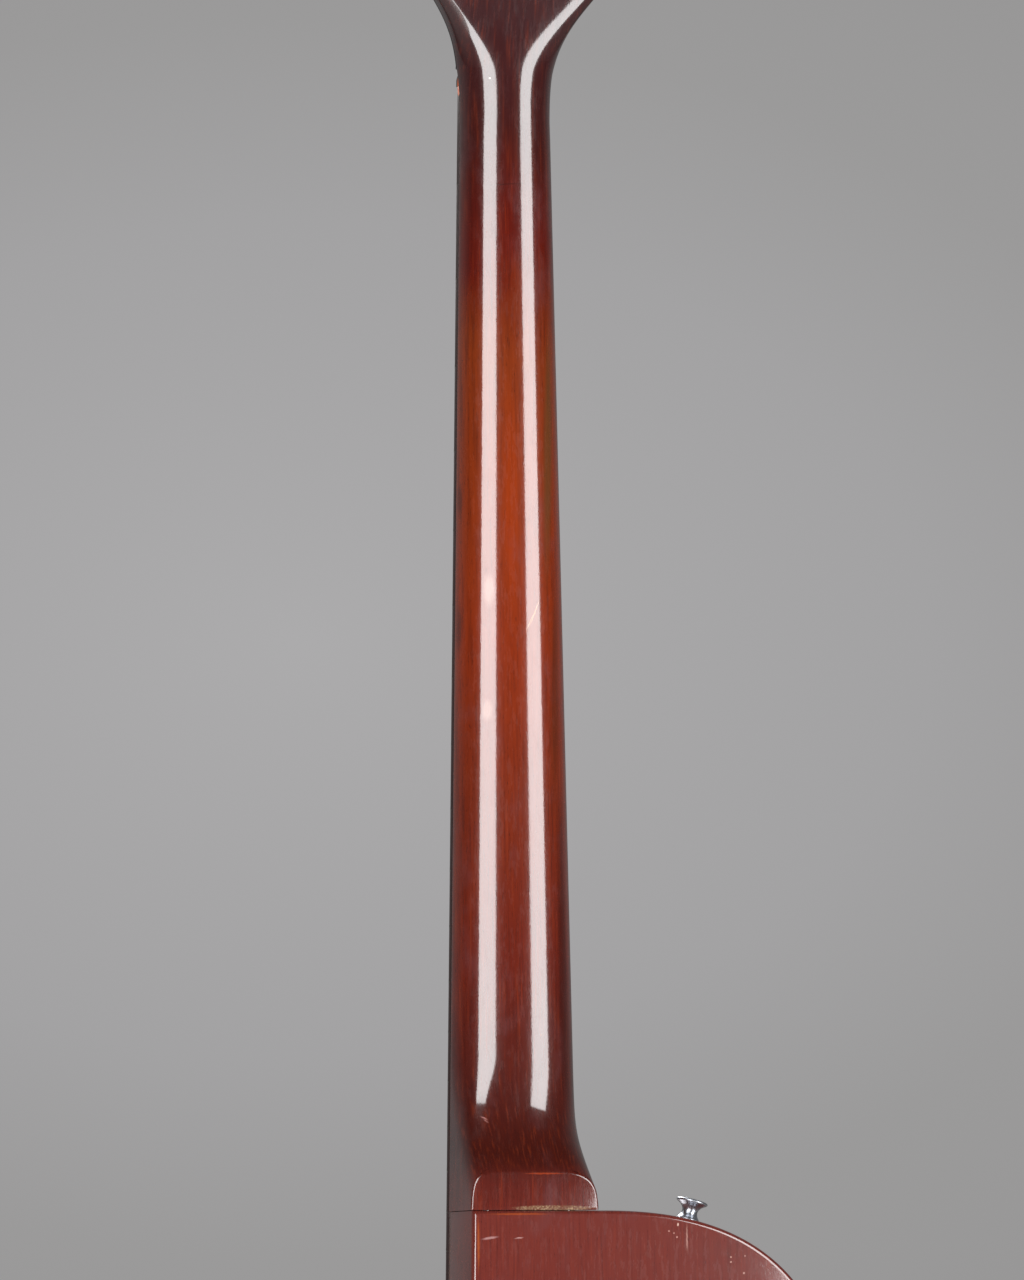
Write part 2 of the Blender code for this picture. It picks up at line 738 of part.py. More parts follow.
def make_string(index):
    name = "string_" + STRINGS[index].pitch
    gauge = STRINGS[index].gauge
    path = string_path(index)
    gap = least_gap(path[2:], gauge)
    print("%s: least gap between its turns %.2f mm" % (name, gap / MM))
    line = bpy.data.curves.new(name, "CURVE")
    line.dimensions = "3D"
    line.bevel_depth = gauge / 2
    line.bevel_resolution = 1
    line.use_fill_caps = True
    spline = line.splines.new("POLY")
    spline.points.add(len(path) - 1)
    for knot, point in zip(spline.points, path):
        knot.co = (*point, 1)
    line.materials.append(WOUND)
    bpy.context.collection.objects.link(bpy.data.objects.new(name, line))


# Bridge


def make_bridge():
    low = (-BRIDGE_HALF_WIDTH, BRIDGE_BOTTOM, BRIDGE_REAR)
    high = (BRIDGE_HALF_WIDTH, BRIDGE_TOP, BRIDGE_FRONT)
    base = add_object("bridge_base", box(low, high), NICKEL)
    bevel(base, 1.5 * MM, 2)
    well = WELL_HALF_WIDTH
    cut(base, "saddle_well", box((-well, BRIDGE_FLOOR, WELL_REAR), (well, BRIDGE_TOP + MM, WELL_FRONT)))
    for index, string in enumerate(STRINGS):
        x = string_x(index, BRIDGE_SPACING)
        side = string.gauge / 2 + 0.5 * MM
        floor = STRING_ANCHOR_Y - side
        slot = box((x - side, floor, BRIDGE_REAR - MM), (x + side, BRIDGE_TOP + MM, WELL_REAR + MM))
        cut(base, "string_slot_" + string.pitch, slot)
        hole = rod((x, SCREW_Y, WELL_FRONT - MM), (x, SCREW_Y, BRIDGE_FRONT + MM), 1.9 * MM, 10)
        cut(base, "screw_hole_" + string.pitch, hole)
        make_saddle(string.pitch, x, string.set_back)
        make_intonation_screw(string.pitch, x)
    for name, x in (("bass", STUD_X), ("treble", -STUD_X)):
        cut(base, "stud_seat_" + name, rod((x, BODY_THICKNESS, 0), (x, BRIDGE_TOP + MM, 0), STUD_SEAT, 14))
        profile = ((0, -21), (3.6, -21), (4, -20), (4, 10.6), (6.4, 10.6), (6.4, 12.6), (5.6, 13.2), (0, 13.2))
        stud = turned([(r * MM, h * MM) for r, h in profile], 14)
        add_object("bridge_stud_" + name, stud, NICKEL, facing_front(x, BODY_THICKNESS, 0))


def make_saddle(pitch, x, set_back):
    """A saddle block with a rounded crown, its own origin on the crown line."""
    crown_y = SADDLE_STRING_BOTTOM - GAP
    foot = BRIDGE_FLOOR + GAP
    half = SADDLE_WIDTH / 2
    radius = SADDLE_CROWN_RADIUS
    outline = [(-SADDLE_LENGTH / 2, foot), (SADDLE_LENGTH / 2, foot)]
    outline.append((SADDLE_LENGTH / 2, crown_y - SADDLE_SHOULDER))
    for degrees in (45, 70, 90, 110, 135):
        angle = math.radians(degrees)
        outline.append((radius * math.cos(angle), crown_y - radius + radius * math.sin(angle)))
    outline.append((-SADDLE_LENGTH / 2, crown_y - SADDLE_SHOULDER))
    rings = [[Vector((side, y, z)) for z, y in outline] for side in (-half, half)]
    place = Matrix.Translation((x, 0, -set_back))
    saddle = add_object("saddle_" + pitch, loft(rings), NICKEL, place)
    cut(saddle, "saddle_bore_" + pitch, rod((0, SCREW_Y, -6 * MM), (0, SCREW_Y, 6 * MM), 1.85 * MM, 10), place)


def make_intonation_screw(pitch, x):
    profile = ((0, -32), (1.1, -32), (1.5, -31.3), (1.5, 0.4), (2.7, 0.4), (2.7, 1.4), (1.8, 2.2), (0, 2.2))
    screw = turned([(r * MM, h * MM) for r, h in profile], 10)
    add_object("intonation_screw_" + pitch, screw, STEEL, Matrix.Translation((x, SCREW_Y, BRIDGE_FRONT)))


# Pickups, controls and jack


def make_pickups():
    width, length = PICKUP_SIZE
    for name, z in PICKUP_CENTRES:
        low = (-width / 2, PICKUP_BOTTOM, z - length / 2)
        high = (width / 2, PICKUP_TOP, z + length / 2)
        bevel(add_object("pickup_" + name, box(low, high), BLACK), 2.5 * MM, 2)


def make_controls():
    for index, name in enumerate(CONTROL_NAMES):
        spot = control_place(index)
        place = facing_front(spot.x, BODY_THICKNESS, spot.z)
        can = ((0, -18.5), (12, -18.5), (12, -7.5), (4.5, -7.5), (4.5, 3.2), (3.4, 3.2), (3.4, -16), (0, -16))
        add_object("pot_" + name, turned([(r * MM, h * MM) for r, h in can], 14), STEEL, place)
        shaft = turned([(0, -15.7 * MM), (3 * MM, -15.7 * MM), (3 * MM, 12 * MM), (0, 12 * MM)], 10)
        add_object("pot_shaft_" + name, shaft, BRASS, place)
        knob = (
            (3.3, 4), (10.6, 4), (10.8, 5), (9.7, 15.6), (8.6, 16.8), (0, 16.8),
            (0, 12.3), (3.3, 12.3), (3.3, 4)
        )
        profile = [(r * MM, h * MM) for r, h in knob]
        add_object("knob_" + name, turned(profile, 16), BLACK, place)
    spot = control_place(len(CONTROL_NAMES))
    half = JACK_PLATE_HALF
    low = (spot.x - half, BODY_THICKNESS + GAP, spot.z - half)
    high = (spot.x + half, BODY_THICKNESS + 2 * MM, spot.z + half)
    jack_plate = add_object("jack_plate", box(low, high), NICKEL)
    hole = rod((spot.x, low[1] - MM, spot.z), (spot.x, high[1] + MM, spot.z), 4.9 * MM, 14)
    cut(jack_plate, "jack_plate_hole", hole)
    socket = (
        (0, -24), (8, -24), (8, -7), (4.5, -7), (4.5, 2.4), (6.8, 2.4),
        (6.8, 4.2), (3.25, 4.2), (3.25, -21), (0, -21)
    )
    place = facing_front(spot.x, BODY_THICKNESS, spot.z)
    add_object("jack_socket", turned([(r * MM, h * MM) for r, h in socket], 14), NICKEL, place)
    cover = plate(control_outline(CAVITY_HALF_WIDTH + COVER_MARGIN), 0, COVER_THICKNESS)
    add_object("control_cover", cover, BLACK)


# Strap buttons


def button_places():
    """The two buttons' places, own Z pointing away from the body."""
    spot, away = shoulder_point(BUTTON_X)
    middle = BODY_THICKNESS / 2
    shoulder = Matrix.Translation((spot.x, middle, spot.z)) @ away.to_track_quat("Z", "Y").to_matrix().to_4x4()
    down = Vector((0, 0, -1)).to_track_quat("Z", "Y").to_matrix().to_4x4()
    end = Matrix.Translation((0, middle, BODY_BOTTOM)) @ down
    return (("shoulder", shoulder), ("end", end))


def make_strap_buttons():
    button = (
        (2.4, 0.4), (4.9, 0.4), (5.1, 0.9), (3.8, 2.7), (3.3, 4.4), (3.6, 5.8), (4.6, 7), (6.2, 8), (6.7, 8.7),
        (6.5, 9.3), (5.9, 9.5), (4, 9.5), (2.4, 8), (2.4, 0.4)
    )
    screw = ((0, -22), (1.2, -20.5), (1.9, -18), (1.9, 7.9), (3.4, 9.3), (2.2, 9.8), (0, 9.9))
    for name, place in button_places():
        profile = [(r * MM, h * MM) for r, h in button]
        add_object("strap_button_" + name, turned(profile, 16), NICKEL, place)
        profile = [(r * MM, h * MM) for r, h in screw]
        add_object("strap_screw_" + name, turned(profile, 10), STEEL, place)


make_body()
make_neck()
make_veneer()
make_fingerboard()
make_nut()
make_truss_rod()
for spot in post_spots():
    make_tuner(*spot)
for number in range(len(STRINGS)):
    make_string(number)
make_bridge()
make_pickups()
make_controls()
make_strap_buttons()
print("pieces:", sum(not item.hide_render for item in bpy.data.objects))
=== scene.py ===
# %% [markdown]
# # Dressing an electric bass guitar
#
# The CAD model gives every piece of this bass its place, its size and its motion. This lesson
# gives it its looks: a set mahogany neck under cherry lacquer, worn by years of playing, the slab
# body it is glued to, and all the hardware. We start by loading the CAD model as a fixed frame.
# Nothing in it may be moved, so every new piece is measured from it.

# %% Load the frame and read its main sizes
import json
import math
from collections import namedtuple

import bpy
from mathutils import Matrix, Vector
from mathutils.geometry import interpolate_bezier
from mathutils.kdtree import KDTree

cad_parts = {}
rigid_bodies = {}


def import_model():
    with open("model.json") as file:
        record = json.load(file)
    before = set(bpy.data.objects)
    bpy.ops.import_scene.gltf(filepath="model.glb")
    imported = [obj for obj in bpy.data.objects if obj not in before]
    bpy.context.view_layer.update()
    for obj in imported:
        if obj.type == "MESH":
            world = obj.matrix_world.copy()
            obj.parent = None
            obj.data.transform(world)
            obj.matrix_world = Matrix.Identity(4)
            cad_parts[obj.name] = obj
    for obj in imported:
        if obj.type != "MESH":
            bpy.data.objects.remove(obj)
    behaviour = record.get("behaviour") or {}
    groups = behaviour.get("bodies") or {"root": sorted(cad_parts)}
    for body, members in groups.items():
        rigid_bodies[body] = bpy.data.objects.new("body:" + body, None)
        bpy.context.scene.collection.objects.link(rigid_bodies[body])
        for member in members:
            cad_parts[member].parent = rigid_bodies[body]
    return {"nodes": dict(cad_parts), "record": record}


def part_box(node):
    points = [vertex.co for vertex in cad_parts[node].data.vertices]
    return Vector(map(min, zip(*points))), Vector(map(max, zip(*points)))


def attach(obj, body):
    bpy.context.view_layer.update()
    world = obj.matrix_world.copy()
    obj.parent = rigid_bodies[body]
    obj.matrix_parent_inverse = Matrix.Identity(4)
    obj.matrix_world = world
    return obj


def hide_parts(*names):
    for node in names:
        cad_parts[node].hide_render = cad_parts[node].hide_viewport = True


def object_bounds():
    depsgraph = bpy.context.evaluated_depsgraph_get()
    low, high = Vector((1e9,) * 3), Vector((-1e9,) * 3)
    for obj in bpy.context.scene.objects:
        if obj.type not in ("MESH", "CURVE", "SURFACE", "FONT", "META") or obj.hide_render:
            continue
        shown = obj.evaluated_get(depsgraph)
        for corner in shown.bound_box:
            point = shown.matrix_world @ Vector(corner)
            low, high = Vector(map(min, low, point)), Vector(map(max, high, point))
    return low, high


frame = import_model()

MM = 0.001
GAP = 0.3 * MM
cad_low, cad_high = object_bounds()
body_low, body_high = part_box("body")
nut_low, nut_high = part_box("nut")
board_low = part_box("fingerboard")[0]
SCALE = nut_low.z
GLUE_Y = body_high.y
print("scale length %.1f mm, body %.1f mm thick" % (SCALE / MM, GLUE_Y / MM))


# %% [markdown]
# ## The camera
#
# The photograph was taken from behind the bass, a little to its treble side, with the camera at
# the height of the heel and looking slightly up. The place and the three angles below came from
# matching the edges of the neck, the seam under the heel and the curve of the shoulder. The lens
# follows from the number of pixels that a metre fills at one metre's distance.

# %% Place the camera
CAMERA_PLACE = Vector((-0.6582, -2.3, 0.2564))
TURN_RIGHT = math.radians(15.764)
LOOK_UP = math.radians(6.511)
ROLL = math.radians(-0.429)
FOCAL_PIXELS = 5716.6
PICTURE_WIDTH = 1024
PICTURE_HEIGHT = 1280
SENSOR = 36


def look_directions():
    """The camera's own right, up and forward directions."""
    forward = Vector((
        math.sin(TURN_RIGHT) * math.cos(LOOK_UP),
        math.cos(TURN_RIGHT) * math.cos(LOOK_UP),
        math.sin(LOOK_UP),
    ))
    level = Vector((math.cos(TURN_RIGHT), -math.sin(TURN_RIGHT), 0))
    upright = level.cross(forward)
    right = math.cos(ROLL) * level + math.sin(ROLL) * upright
    up = math.cos(ROLL) * upright - math.sin(ROLL) * level
    return right, up, forward


def place_camera():
    right, up, forward = look_directions()
    bpy.ops.object.camera_add()
    camera = bpy.context.object
    turn = Matrix((right, up, -forward)).transposed().to_4x4()
    camera.matrix_world = Matrix.Translation(CAMERA_PLACE) @ turn
    camera.data.sensor_width = SENSOR
    camera.data.lens = FOCAL_PIXELS * SENSOR / PICTURE_HEIGHT
    camera.data.clip_end = 50
    bpy.context.scene.camera = camera
    print("lens %.1f mm" % camera.data.lens)


def pixel_ray(across, down):
    """The direction from the camera through a pixel of the photograph."""
    right, up, forward = look_directions()
    sideways = right * (across - PICTURE_WIDTH / 2)
    upwards = up * (PICTURE_HEIGHT / 2 - down)
    return (forward + (sideways + upwards) / FOCAL_PIXELS).normalized()


place_camera()


# %% [markdown]
# ## Light
#
# Two tall softboxes stand behind the bass, one on each side of the camera. On the round back of
# the neck each of them becomes a long bright stripe, and the stripes stop where the heel starts
# to sweep out, because there the lacquer mirrors the dark ceiling. Each box is named with its angle
# from straight behind and its size in metres. A third one stands high in front, so that the other
# views are lit too.

# %% Softboxes
FLOOR_Z = cad_low.z - 480 * MM
ABOVE_FLOOR = 0.02
BOX_DISTANCE = 1.7
BOX_RADIANCE = 5.7
HIGHEST_AIM = 1
Box = namedtuple("Box", "name angle width height")
BACK_BOXES = (Box("softbox_treble", -33, 0.9, 2.6), Box("softbox_bass", 39.5, 0.72, 2.1))
FRONT_PLACE = Vector((-0.3, 2.5, 2.9))


def softbox(name, place, width, height, power):
    """A softbox that faces the neck at its own height, or the headstock if it stands higher."""
    aim = Vector((0, GLUE_Y, min(place.z, HIGHEST_AIM)))
    bpy.ops.object.light_add(type="AREA", location=place)
    light = bpy.context.object
    light.name = name
    light.rotation_euler = (aim - place).to_track_quat("-Z", "Y").to_euler()
    light.data.shape = "RECTANGLE"
    light.data.size = width
    light.data.size_y = height
    light.data.energy = power


def around(angle, distance, z):
    """A place at an angle from straight behind, counted towards the bass side."""
    angle = math.radians(angle)
    return Vector((math.sin(angle) * distance, -math.cos(angle) * distance, z))


for box in BACK_BOXES:
    power = BOX_RADIANCE * math.pi * box.width * box.height
    place = around(box.angle, BOX_DISTANCE, FLOOR_Z + box.height / 2 + ABOVE_FLOOR)
    softbox(box.name, place, box.width, box.height, power)
softbox("softbox_front", FRONT_PLACE, 1.3, 2.2, 120)


# %% [markdown]
# ## Nodes and colours
#
# Every material is a small network. One function adds a node and sets or links its sockets, so a
# network reads from top to bottom like a recipe. Another turns a colour, written as it looks on
# screen, into the amounts of light that Blender works with.

# %% Functions for colours and nodes


def linear(colour):
    """A colour written as it looks on screen, turned into the light it stands for."""
    parts = [int(colour[start : start + 2], 16) / 255 for start in (1, 3, 5)]
    light = [part / 12.92 if part <= 0.04045 else ((part + 0.055) / 1.055) ** 2.4 for part in parts]
    return (*light, 1)


def add(tree, kind, sockets=None, stops=(), **settings):
    """Add a node with its settings, its sockets' values or links, and a ramp's stops."""
    node = tree.nodes.new("ShaderNode" + kind)
    for key, value in settings.items():
        setattr(node, key, value)
    for key, value in (sockets or {}).items():
        if isinstance(key, int):
            socket = node.inputs[key]
        else:
            socket = next(entry for entry in node.inputs if key in (entry.identifier, entry.name))
        if isinstance(value, bpy.types.Node):
            value = next(output for output in value.outputs if output.enabled)
        if isinstance(value, bpy.types.NodeSocket):
            tree.links.new(value, socket)
        elif isinstance(value, str):
            socket.default_value = linear(value)
        else:
            socket.default_value = value
    for number, (place, colour) in enumerate(stops):
        ramp = node.color_ramp.elements
        stop = ramp[number] if number < 2 else ramp.new(place)
        stop.position = place
        stop.color = linear(colour)
    return node


# %% [markdown]
# ## Backdrop and floor
#
# The backdrop is a plain grey with a painted pool of light, so it is a little brighter left of the
# middle. The camera sees it in full, and reflections see it dimmed, down to the dark room on the
# camera's side. The bass itself is lit by the softboxes and a faint even white, so that its colours come
# out about as written. The floor is far enough below for the hanging bass to clear it.

# %% Backdrop and floor
BACKDROP_STOPS = ((0, "#acabac"), (1, "#959494"), (0.42, "#a3a2a3"), (0.62, "#9b9a9a"))
# The pixel at the centre of the painted pool of light on the backdrop.
PAINTED_LIGHT_SPOT = (300, 640)
BACKDROP_REACH = 0.26
FLOOR_COLOUR = "#9c9b98"
AMBIENT = 0.13
DARK_ROOM = 0.12
DIM_BACKDROP = 0.5
ROOM_FADE = (-0.1, 0.5)


def make_backdrop():
    """A grey world: lit evenly for the object, with a painted pool of light on the backdrop for the
    camera.
    """
    world = bpy.data.worlds.new("studio")
    bpy.context.scene.world = world
    world.use_nodes = True
    tree = world.node_tree
    tree.nodes.clear()
    direction = add(tree, "TexCoord").outputs["Generated"]
    away = add(tree, "VectorMath", {0: direction, 1: pixel_ray(*PAINTED_LIGHT_SPOT)}, operation="SUBTRACT")
    flattened = add(tree, "VectorMath", {0: away, 1: (1, 1, 1.5)}, operation="MULTIPLY")
    distance = add(tree, "VectorMath", {0: flattened}, operation="LENGTH").outputs["Value"]
    share = add(tree, "Math", {0: distance, 1: BACKDROP_REACH}, operation="DIVIDE")
    grey = add(tree, "ValToRGB", {"Fac": share}, stops=BACKDROP_STOPS)
    ambient = add(tree, "Background", {"Color": "#ffffff", "Strength": AMBIENT})
    depth = add(tree, "SeparateXYZ", {0: direction}).outputs["Y"]
    sockets = {"Value": depth, "From Min": ROOM_FADE[0], "From Max": ROOM_FADE[1]}
    sockets |= {"To Min": DARK_ROOM, "To Max": DIM_BACKDROP}
    behind_bass = add(tree, "MapRange", sockets)
    mirrored = add(tree, "Background", {"Color": grey, "Strength": behind_bass})
    picture = add(tree, "Background", {"Color": grey, "Strength": 1})
    rays = add(tree, "LightPath")
    in_mirror = add(tree, "MixShader", {0: rays.outputs["Is Glossy Ray"], 1: ambient, 2: mirrored})
    sockets = {0: rays.outputs["Is Camera Ray"], 1: rays.outputs["Is Transmission Ray"]}
    seen = add(tree, "Math", sockets, operation="MAXIMUM")
    both = add(tree, "MixShader", {0: seen, 1: in_mirror, 2: picture})
    add(tree, "OutputWorld", {"Surface": both})


def make_floor():
    """A plain grey floor well under the hanging bass, wide enough for every view."""
    bpy.ops.mesh.primitive_plane_add(size=14, location=(0, 0, FLOOR_Z))
    floor = bpy.context.object
    floor.name = "studio_floor"
    material = bpy.data.materials.new("painted_floor")
    material.use_nodes = True
    shader = material.node_tree.nodes["Principled BSDF"]
    shader.inputs["Base Color"].default_value = linear(FLOOR_COLOUR)
    shader.inputs["Roughness"].default_value = 0.9
    floor.data.materials.append(material)


make_backdrop()
make_floor()
bpy.context.scene.view_settings.view_transform = "Standard"


# %% [markdown]
# ## Modelling helpers
#
# Everything below is modelled with Blender's own operators, as by hand. An operator acts on all
# that is selected, and the loaded frame comes in selected, so each step first clears the
# selection. Faces, edges and points are then picked in code by their place.

# %% Selecting and modifying


def clear_selection():
    """Leave edit mode with nothing selected."""
    if bpy.context.mode != "OBJECT":
        bpy.ops.object.mode_set(mode="OBJECT")
    bpy.ops.object.select_all(action="DESELECT")


def work_on(piece):
    """Make one piece the only selected and active one."""
    clear_selection()
    piece.select_set(True)
    bpy.context.view_layer.objects.active = piece


def pick(piece, kind, wanted):
    """Go to edit mode with only the wanted vertices, edges or faces selected."""
    work_on(piece)
    bpy.ops.object.mode_set(mode="EDIT")
    bpy.ops.mesh.select_mode(type=kind)
    bpy.ops.mesh.select_all(action="DESELECT")
    bpy.ops.object.mode_set(mode="OBJECT")
    parts = {"VERT": piece.data.vertices, "EDGE": piece.data.edges, "FACE": piece.data.polygons}[kind]
    for part in parts:
        part.select = wanted(part)
    bpy.ops.object.mode_set(mode="EDIT")


def ends(piece, edge):
    """The two end points of an edge."""
    return [piece.data.vertices[corner].co for corner in edge.vertices]


def modify(piece, kind, **settings):
    """Add a modifier with its settings and apply it."""
    work_on(piece)
    modifier = piece.modifiers.new(kind.lower(), kind)
    for key, value in settings.items():
        setattr(modifier, key, value)
    bpy.ops.object.modifier_apply(modifier=modifier.name)


def round_edges(piece, width, segments=3, angle=40):
    """Round every edge that is sharper than an angle, as buffing does."""
    limit = math.radians(angle)
    modify(piece, "BEVEL", width=width, segments=segments, limit_method="ANGLE", angle_limit=limit)


def round_picked(piece, wanted, width, segments=8):
    """Round only the wanted edges."""
    pick(piece, "EDGE", wanted)
    bpy.ops.mesh.bevel(offset=width, segments=segments, profile=0.5)
    bpy.ops.object.mode_set(mode="OBJECT")


def round_corners(piece, axis, width, segments=8):
    """Round the corners of a plate or block: the edges that run along X, Y or Z."""

    def runs_along(edge):
        start, end = ends(piece, edge)
        return abs(start["XYZ".index(axis)] - end["XYZ".index(axis)]) > MM

    round_picked(piece, runs_along, width, segments)


def carve(piece, *cutters, operation="DIFFERENCE"):
    """Cut other shapes out of a piece, or join them to it, and clear them away."""
    for cutter in cutters:
        modify(piece, "BOOLEAN", object=cutter, operation=operation)
        bpy.data.objects.remove(cutter, do_unlink=True)
    return piece


# %% Blocks, rods and plates to start from


def block(low, high, place=Matrix()):
    """A block between two corners."""
    low = Vector(low)
    high = Vector(high)
    clear_selection()
    bpy.ops.mesh.primitive_cube_add(size=1, location=(low + high) / 2)
    piece = bpy.context.object
    piece.scale = high - low
    bpy.ops.object.transform_apply(location=True, rotation=True, scale=True)
    piece.data.transform(place)
    return piece


def rod(start, end, radius, sides=32, place=Matrix()):
    """A round rod between two points."""
    start = Vector(start)
    end = Vector(end)
    clear_selection()
    bpy.ops.mesh.primitive_cylinder_add(vertices=sides, radius=radius, depth=(end - start).length)
    piece = bpy.context.object
    turn = (end - start).to_track_quat("Z", "Y").to_matrix().to_4x4()
    piece.data.transform(place @ Matrix.Translation((start + end) / 2) @ turn)
    return piece


def pressed_bar(rings):
    """Extrude a filled circle ring by ring, then press every ring onto its own points."""
    sides = len(rings[0])
    clear_selection()
    bpy.ops.mesh.primitive_circle_add(vertices=sides, radius=10 * MM, fill_type="NGON")
    piece = bpy.context.object
    bpy.ops.object.mode_set(mode="EDIT")
    bpy.ops.mesh.select_all(action="SELECT")
    for _ in rings[1:]:
        bpy.ops.mesh.extrude_region_move(TRANSFORM_OT_translate={"value": (0, 0, MM)})
    bpy.ops.object.mode_set(mode="OBJECT")
    for vertex in piece.data.vertices:
        turn = math.atan2(vertex.co.y, vertex.co.x) - math.pi / 2
        corner = round(turn / math.tau * sides) % sides
        vertex.co = rings[round(vertex.co.z / MM)][corner]
    bpy.ops.object.mode_set(mode="EDIT")
    bpy.ops.mesh.select_all(action="SELECT")
    bpy.ops.mesh.normals_make_consistent(inside=False)
    bpy.ops.object.mode_set(mode="OBJECT")
    return piece


def plate(outline, travel):
    """A plate from an outline of points, as thick as its travel."""
    travel = Vector(travel)
    return pressed_bar([outline, [Vector(point) + travel for point in outline]])


# %% Turning on a lathe


def through(points, steps=6):
    """A smooth line through points of two or three numbers, in millimetres."""
    numbers = len(points[0])
    points = [Vector(point).to_3d() for point in points]
    line = []
    for number, (start, end) in enumerate(zip(points, points[1:])):
        before = points[max(number - 1, 0)]
        after = points[min(number + 2, len(points) - 1)]
        first_handle = start + (end - before) / 6
        last_handle = end - (after - start) / 6
        line += interpolate_bezier(start, first_handle, last_handle, end, steps + 1)[:-1]
    return [tuple(point)[:numbers] for point in line + [points[-1]]]


def turned(profile, place=Matrix(), steps=48):
    """Turn a piece about its own Z: a point is extruded along the profile and spun round."""
    points = [Vector((point[0], 0, point[1])) * MM for point in profile]
    clear_selection()
    bpy.ops.mesh.primitive_plane_add(size=MM)
    piece = bpy.context.object
    bpy.ops.object.mode_set(mode="EDIT")
    bpy.ops.mesh.select_mode(type="VERT")
    bpy.ops.mesh.select_all(action="SELECT")
    bpy.ops.mesh.merge(type="CENTER")
    bpy.ops.transform.translate(value=points[0])
    for start, end in zip(points, points[1:]):
        bpy.ops.mesh.extrude_vertices_move(TRANSFORM_OT_translate={"value": end - start})
    bpy.ops.mesh.select_all(action="SELECT")
    bpy.ops.mesh.spin(steps=steps, angle=math.tau, center=(0, 0, 0), axis=(0, 0, 1))
    bpy.ops.mesh.select_all(action="SELECT")
    bpy.ops.mesh.remove_doubles(threshold=0.002 * MM)
    bpy.ops.mesh.normals_make_consistent(inside=False)
    bpy.ops.object.mode_set(mode="OBJECT")
    piece.data.transform(place)
    return piece


# %% Finishing and copying


def finish(piece, name, material, body="root", nodes=(), angle=30):
    """Smooth a piece, name it, give it its finish and tie it to the frame."""
    work_on(piece)
    bpy.ops.object.transform_apply(location=True, rotation=True, scale=True)
    bpy.ops.object.shade_smooth_by_angle(angle=math.radians(angle))
    piece.name = name
    piece.data.name = name
    piece.data.materials.clear()
    piece.data.materials.append(material)
    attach(piece, body)
    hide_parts(*nodes)
    print("%s: %d faces" % (name, len(piece.data.polygons)))


def twin(piece, place=Matrix()):
    """A copy of an unfinished piece with its own mesh, put at a place."""
    copy = bpy.data.objects.new(piece.name + "_copy", piece.data.copy())
    bpy.context.collection.objects.link(copy)
    copy.data.transform(place)
    return copy


def discard(piece):
    """Clear away a master that has been copied."""
    bpy.data.objects.remove(piece, do_unlink=True)


# %% [markdown]
# ## Finishes
#
# Each finish starts from what the real one is and how its surface was made. Patterns are sized in
# real millimetres, on Object coordinates, so they stay with the wood wherever it is seen from.
# A few small recipes come back in many finishes: a new shader, noise of a size, relief, streaky grain, a
# soft spread of one band of values over another, and a soft-edged patch.

# %% Start of every finish


def new_finish(name, colour, roughness, metallic=0.0, coat=0.0, coat_roughness=0.05, coat_ior=1.5):
    """A finish with its shader, and the Object coordinates that its patterns read."""
    material = bpy.data.materials.new(name)
    material.use_nodes = True
    tree = material.node_tree
    shader = tree.nodes["Principled BSDF"]
    shader.inputs["Base Color"].default_value = linear(colour)
    shader.inputs["Roughness"].default_value = roughness
    shader.inputs["Metallic"].default_value = metallic
    shader.inputs["Coat Weight"].default_value = coat
    shader.inputs["Coat Roughness"].default_value = coat_roughness
    shader.inputs["Coat IOR"].default_value = coat_ior
    place = add(tree, "TexCoord").outputs["Object"]
    return material, tree, shader, place


def noise(tree, place, size, detail, roughness=0.5):
    """Noise whose blots have a size."""
    sockets = {"Vector": place, "Scale": 1 / size, "Detail": detail, "Roughness": roughness}
    return add(tree, "TexNoise", sockets)


def relief(tree, height, strength, depth, **settings):
    """Ridges and hollows that a pattern makes in the surface."""
    sockets = {"Height": height, "Strength": strength, "Distance": depth}
    return add(tree, "Bump", sockets, **settings)


def grain(tree, place, width, length, detail=3.0, roughness=0.55):
    """Noise in streaks along the neck: width across the grain and length along it.

    The streaks are four times as deep as wide, so a surface that slopes through them stays streaky.
    """
    size = (1 / width, 0.25 / width, 1 / length)
    stretched = add(tree, "Mapping", {"Vector": place, "Scale": size})
    return noise(tree, stretched, 1, detail, roughness)


def spread(tree, value, low, high, to_low=0.0, to_high=1.0):
    """Take a band of a pattern's values and spread it softly over another band."""
    sockets = {"Value": value, "From Min": low, "From Max": high, "To Min": to_low, "To Max": to_high}
    return add(tree, "MapRange", sockets, interpolation_type="SMOOTHSTEP")


def mix(tree, amount, first, second, blend="MIX"):
    """Mix or multiply two colours by an amount."""
    sockets = {"Factor_Float": amount, "A_Color": first, "B_Color": second}
    return add(tree, "Mix", sockets, data_type="RGBA", blend_type=blend)


def soft_patch(tree, place, centre, size, tilt=0.0, soft=0.7):
    """A soft-edged patch: 1 in its middle, 0 outside."""
    sockets = {"Vector": place, "Location": centre, "Rotation": (0, tilt, 0), "Scale": size}
    local = add(tree, "Mapping", sockets, vector_type="TEXTURE")
    reach = add(tree, "VectorMath", {0: local}, operation="LENGTH").outputs["Value"]
    return spread(tree, reach, 1, 1 - soft)


def join(tree, tone=None, roughness=None, bump=None, shader=None):
    """Link the finished colour, roughness and bump of a network to its shader."""
    if tone:
        tree.links.new(tone.outputs[2], shader.inputs["Base Color"])
    if roughness:
        tree.links.new(roughness.outputs[0], shader.inputs["Roughness"])
    if bump:
        tree.links.new(bump.outputs[0], shader.inputs["Normal"])
        tree.links.new(bump.outputs[0], shader.inputs["Coat Normal"])


# %% [markdown]
# ### Metals and plastics
#
# The hardware is brass or steel, polished and nickel-plated, and has dulled a little with age.
# Nickel is warmer than chrome. Fingerprints make its gloss uneven. The strap buttons are kept
# brighter and bluer. Screws and saddles are plain machined steel with fine turning marks. The
# black parts are moulded: their surface has a faint orange-peel ripple, and handling has polished
# it in places.

# %% Metals


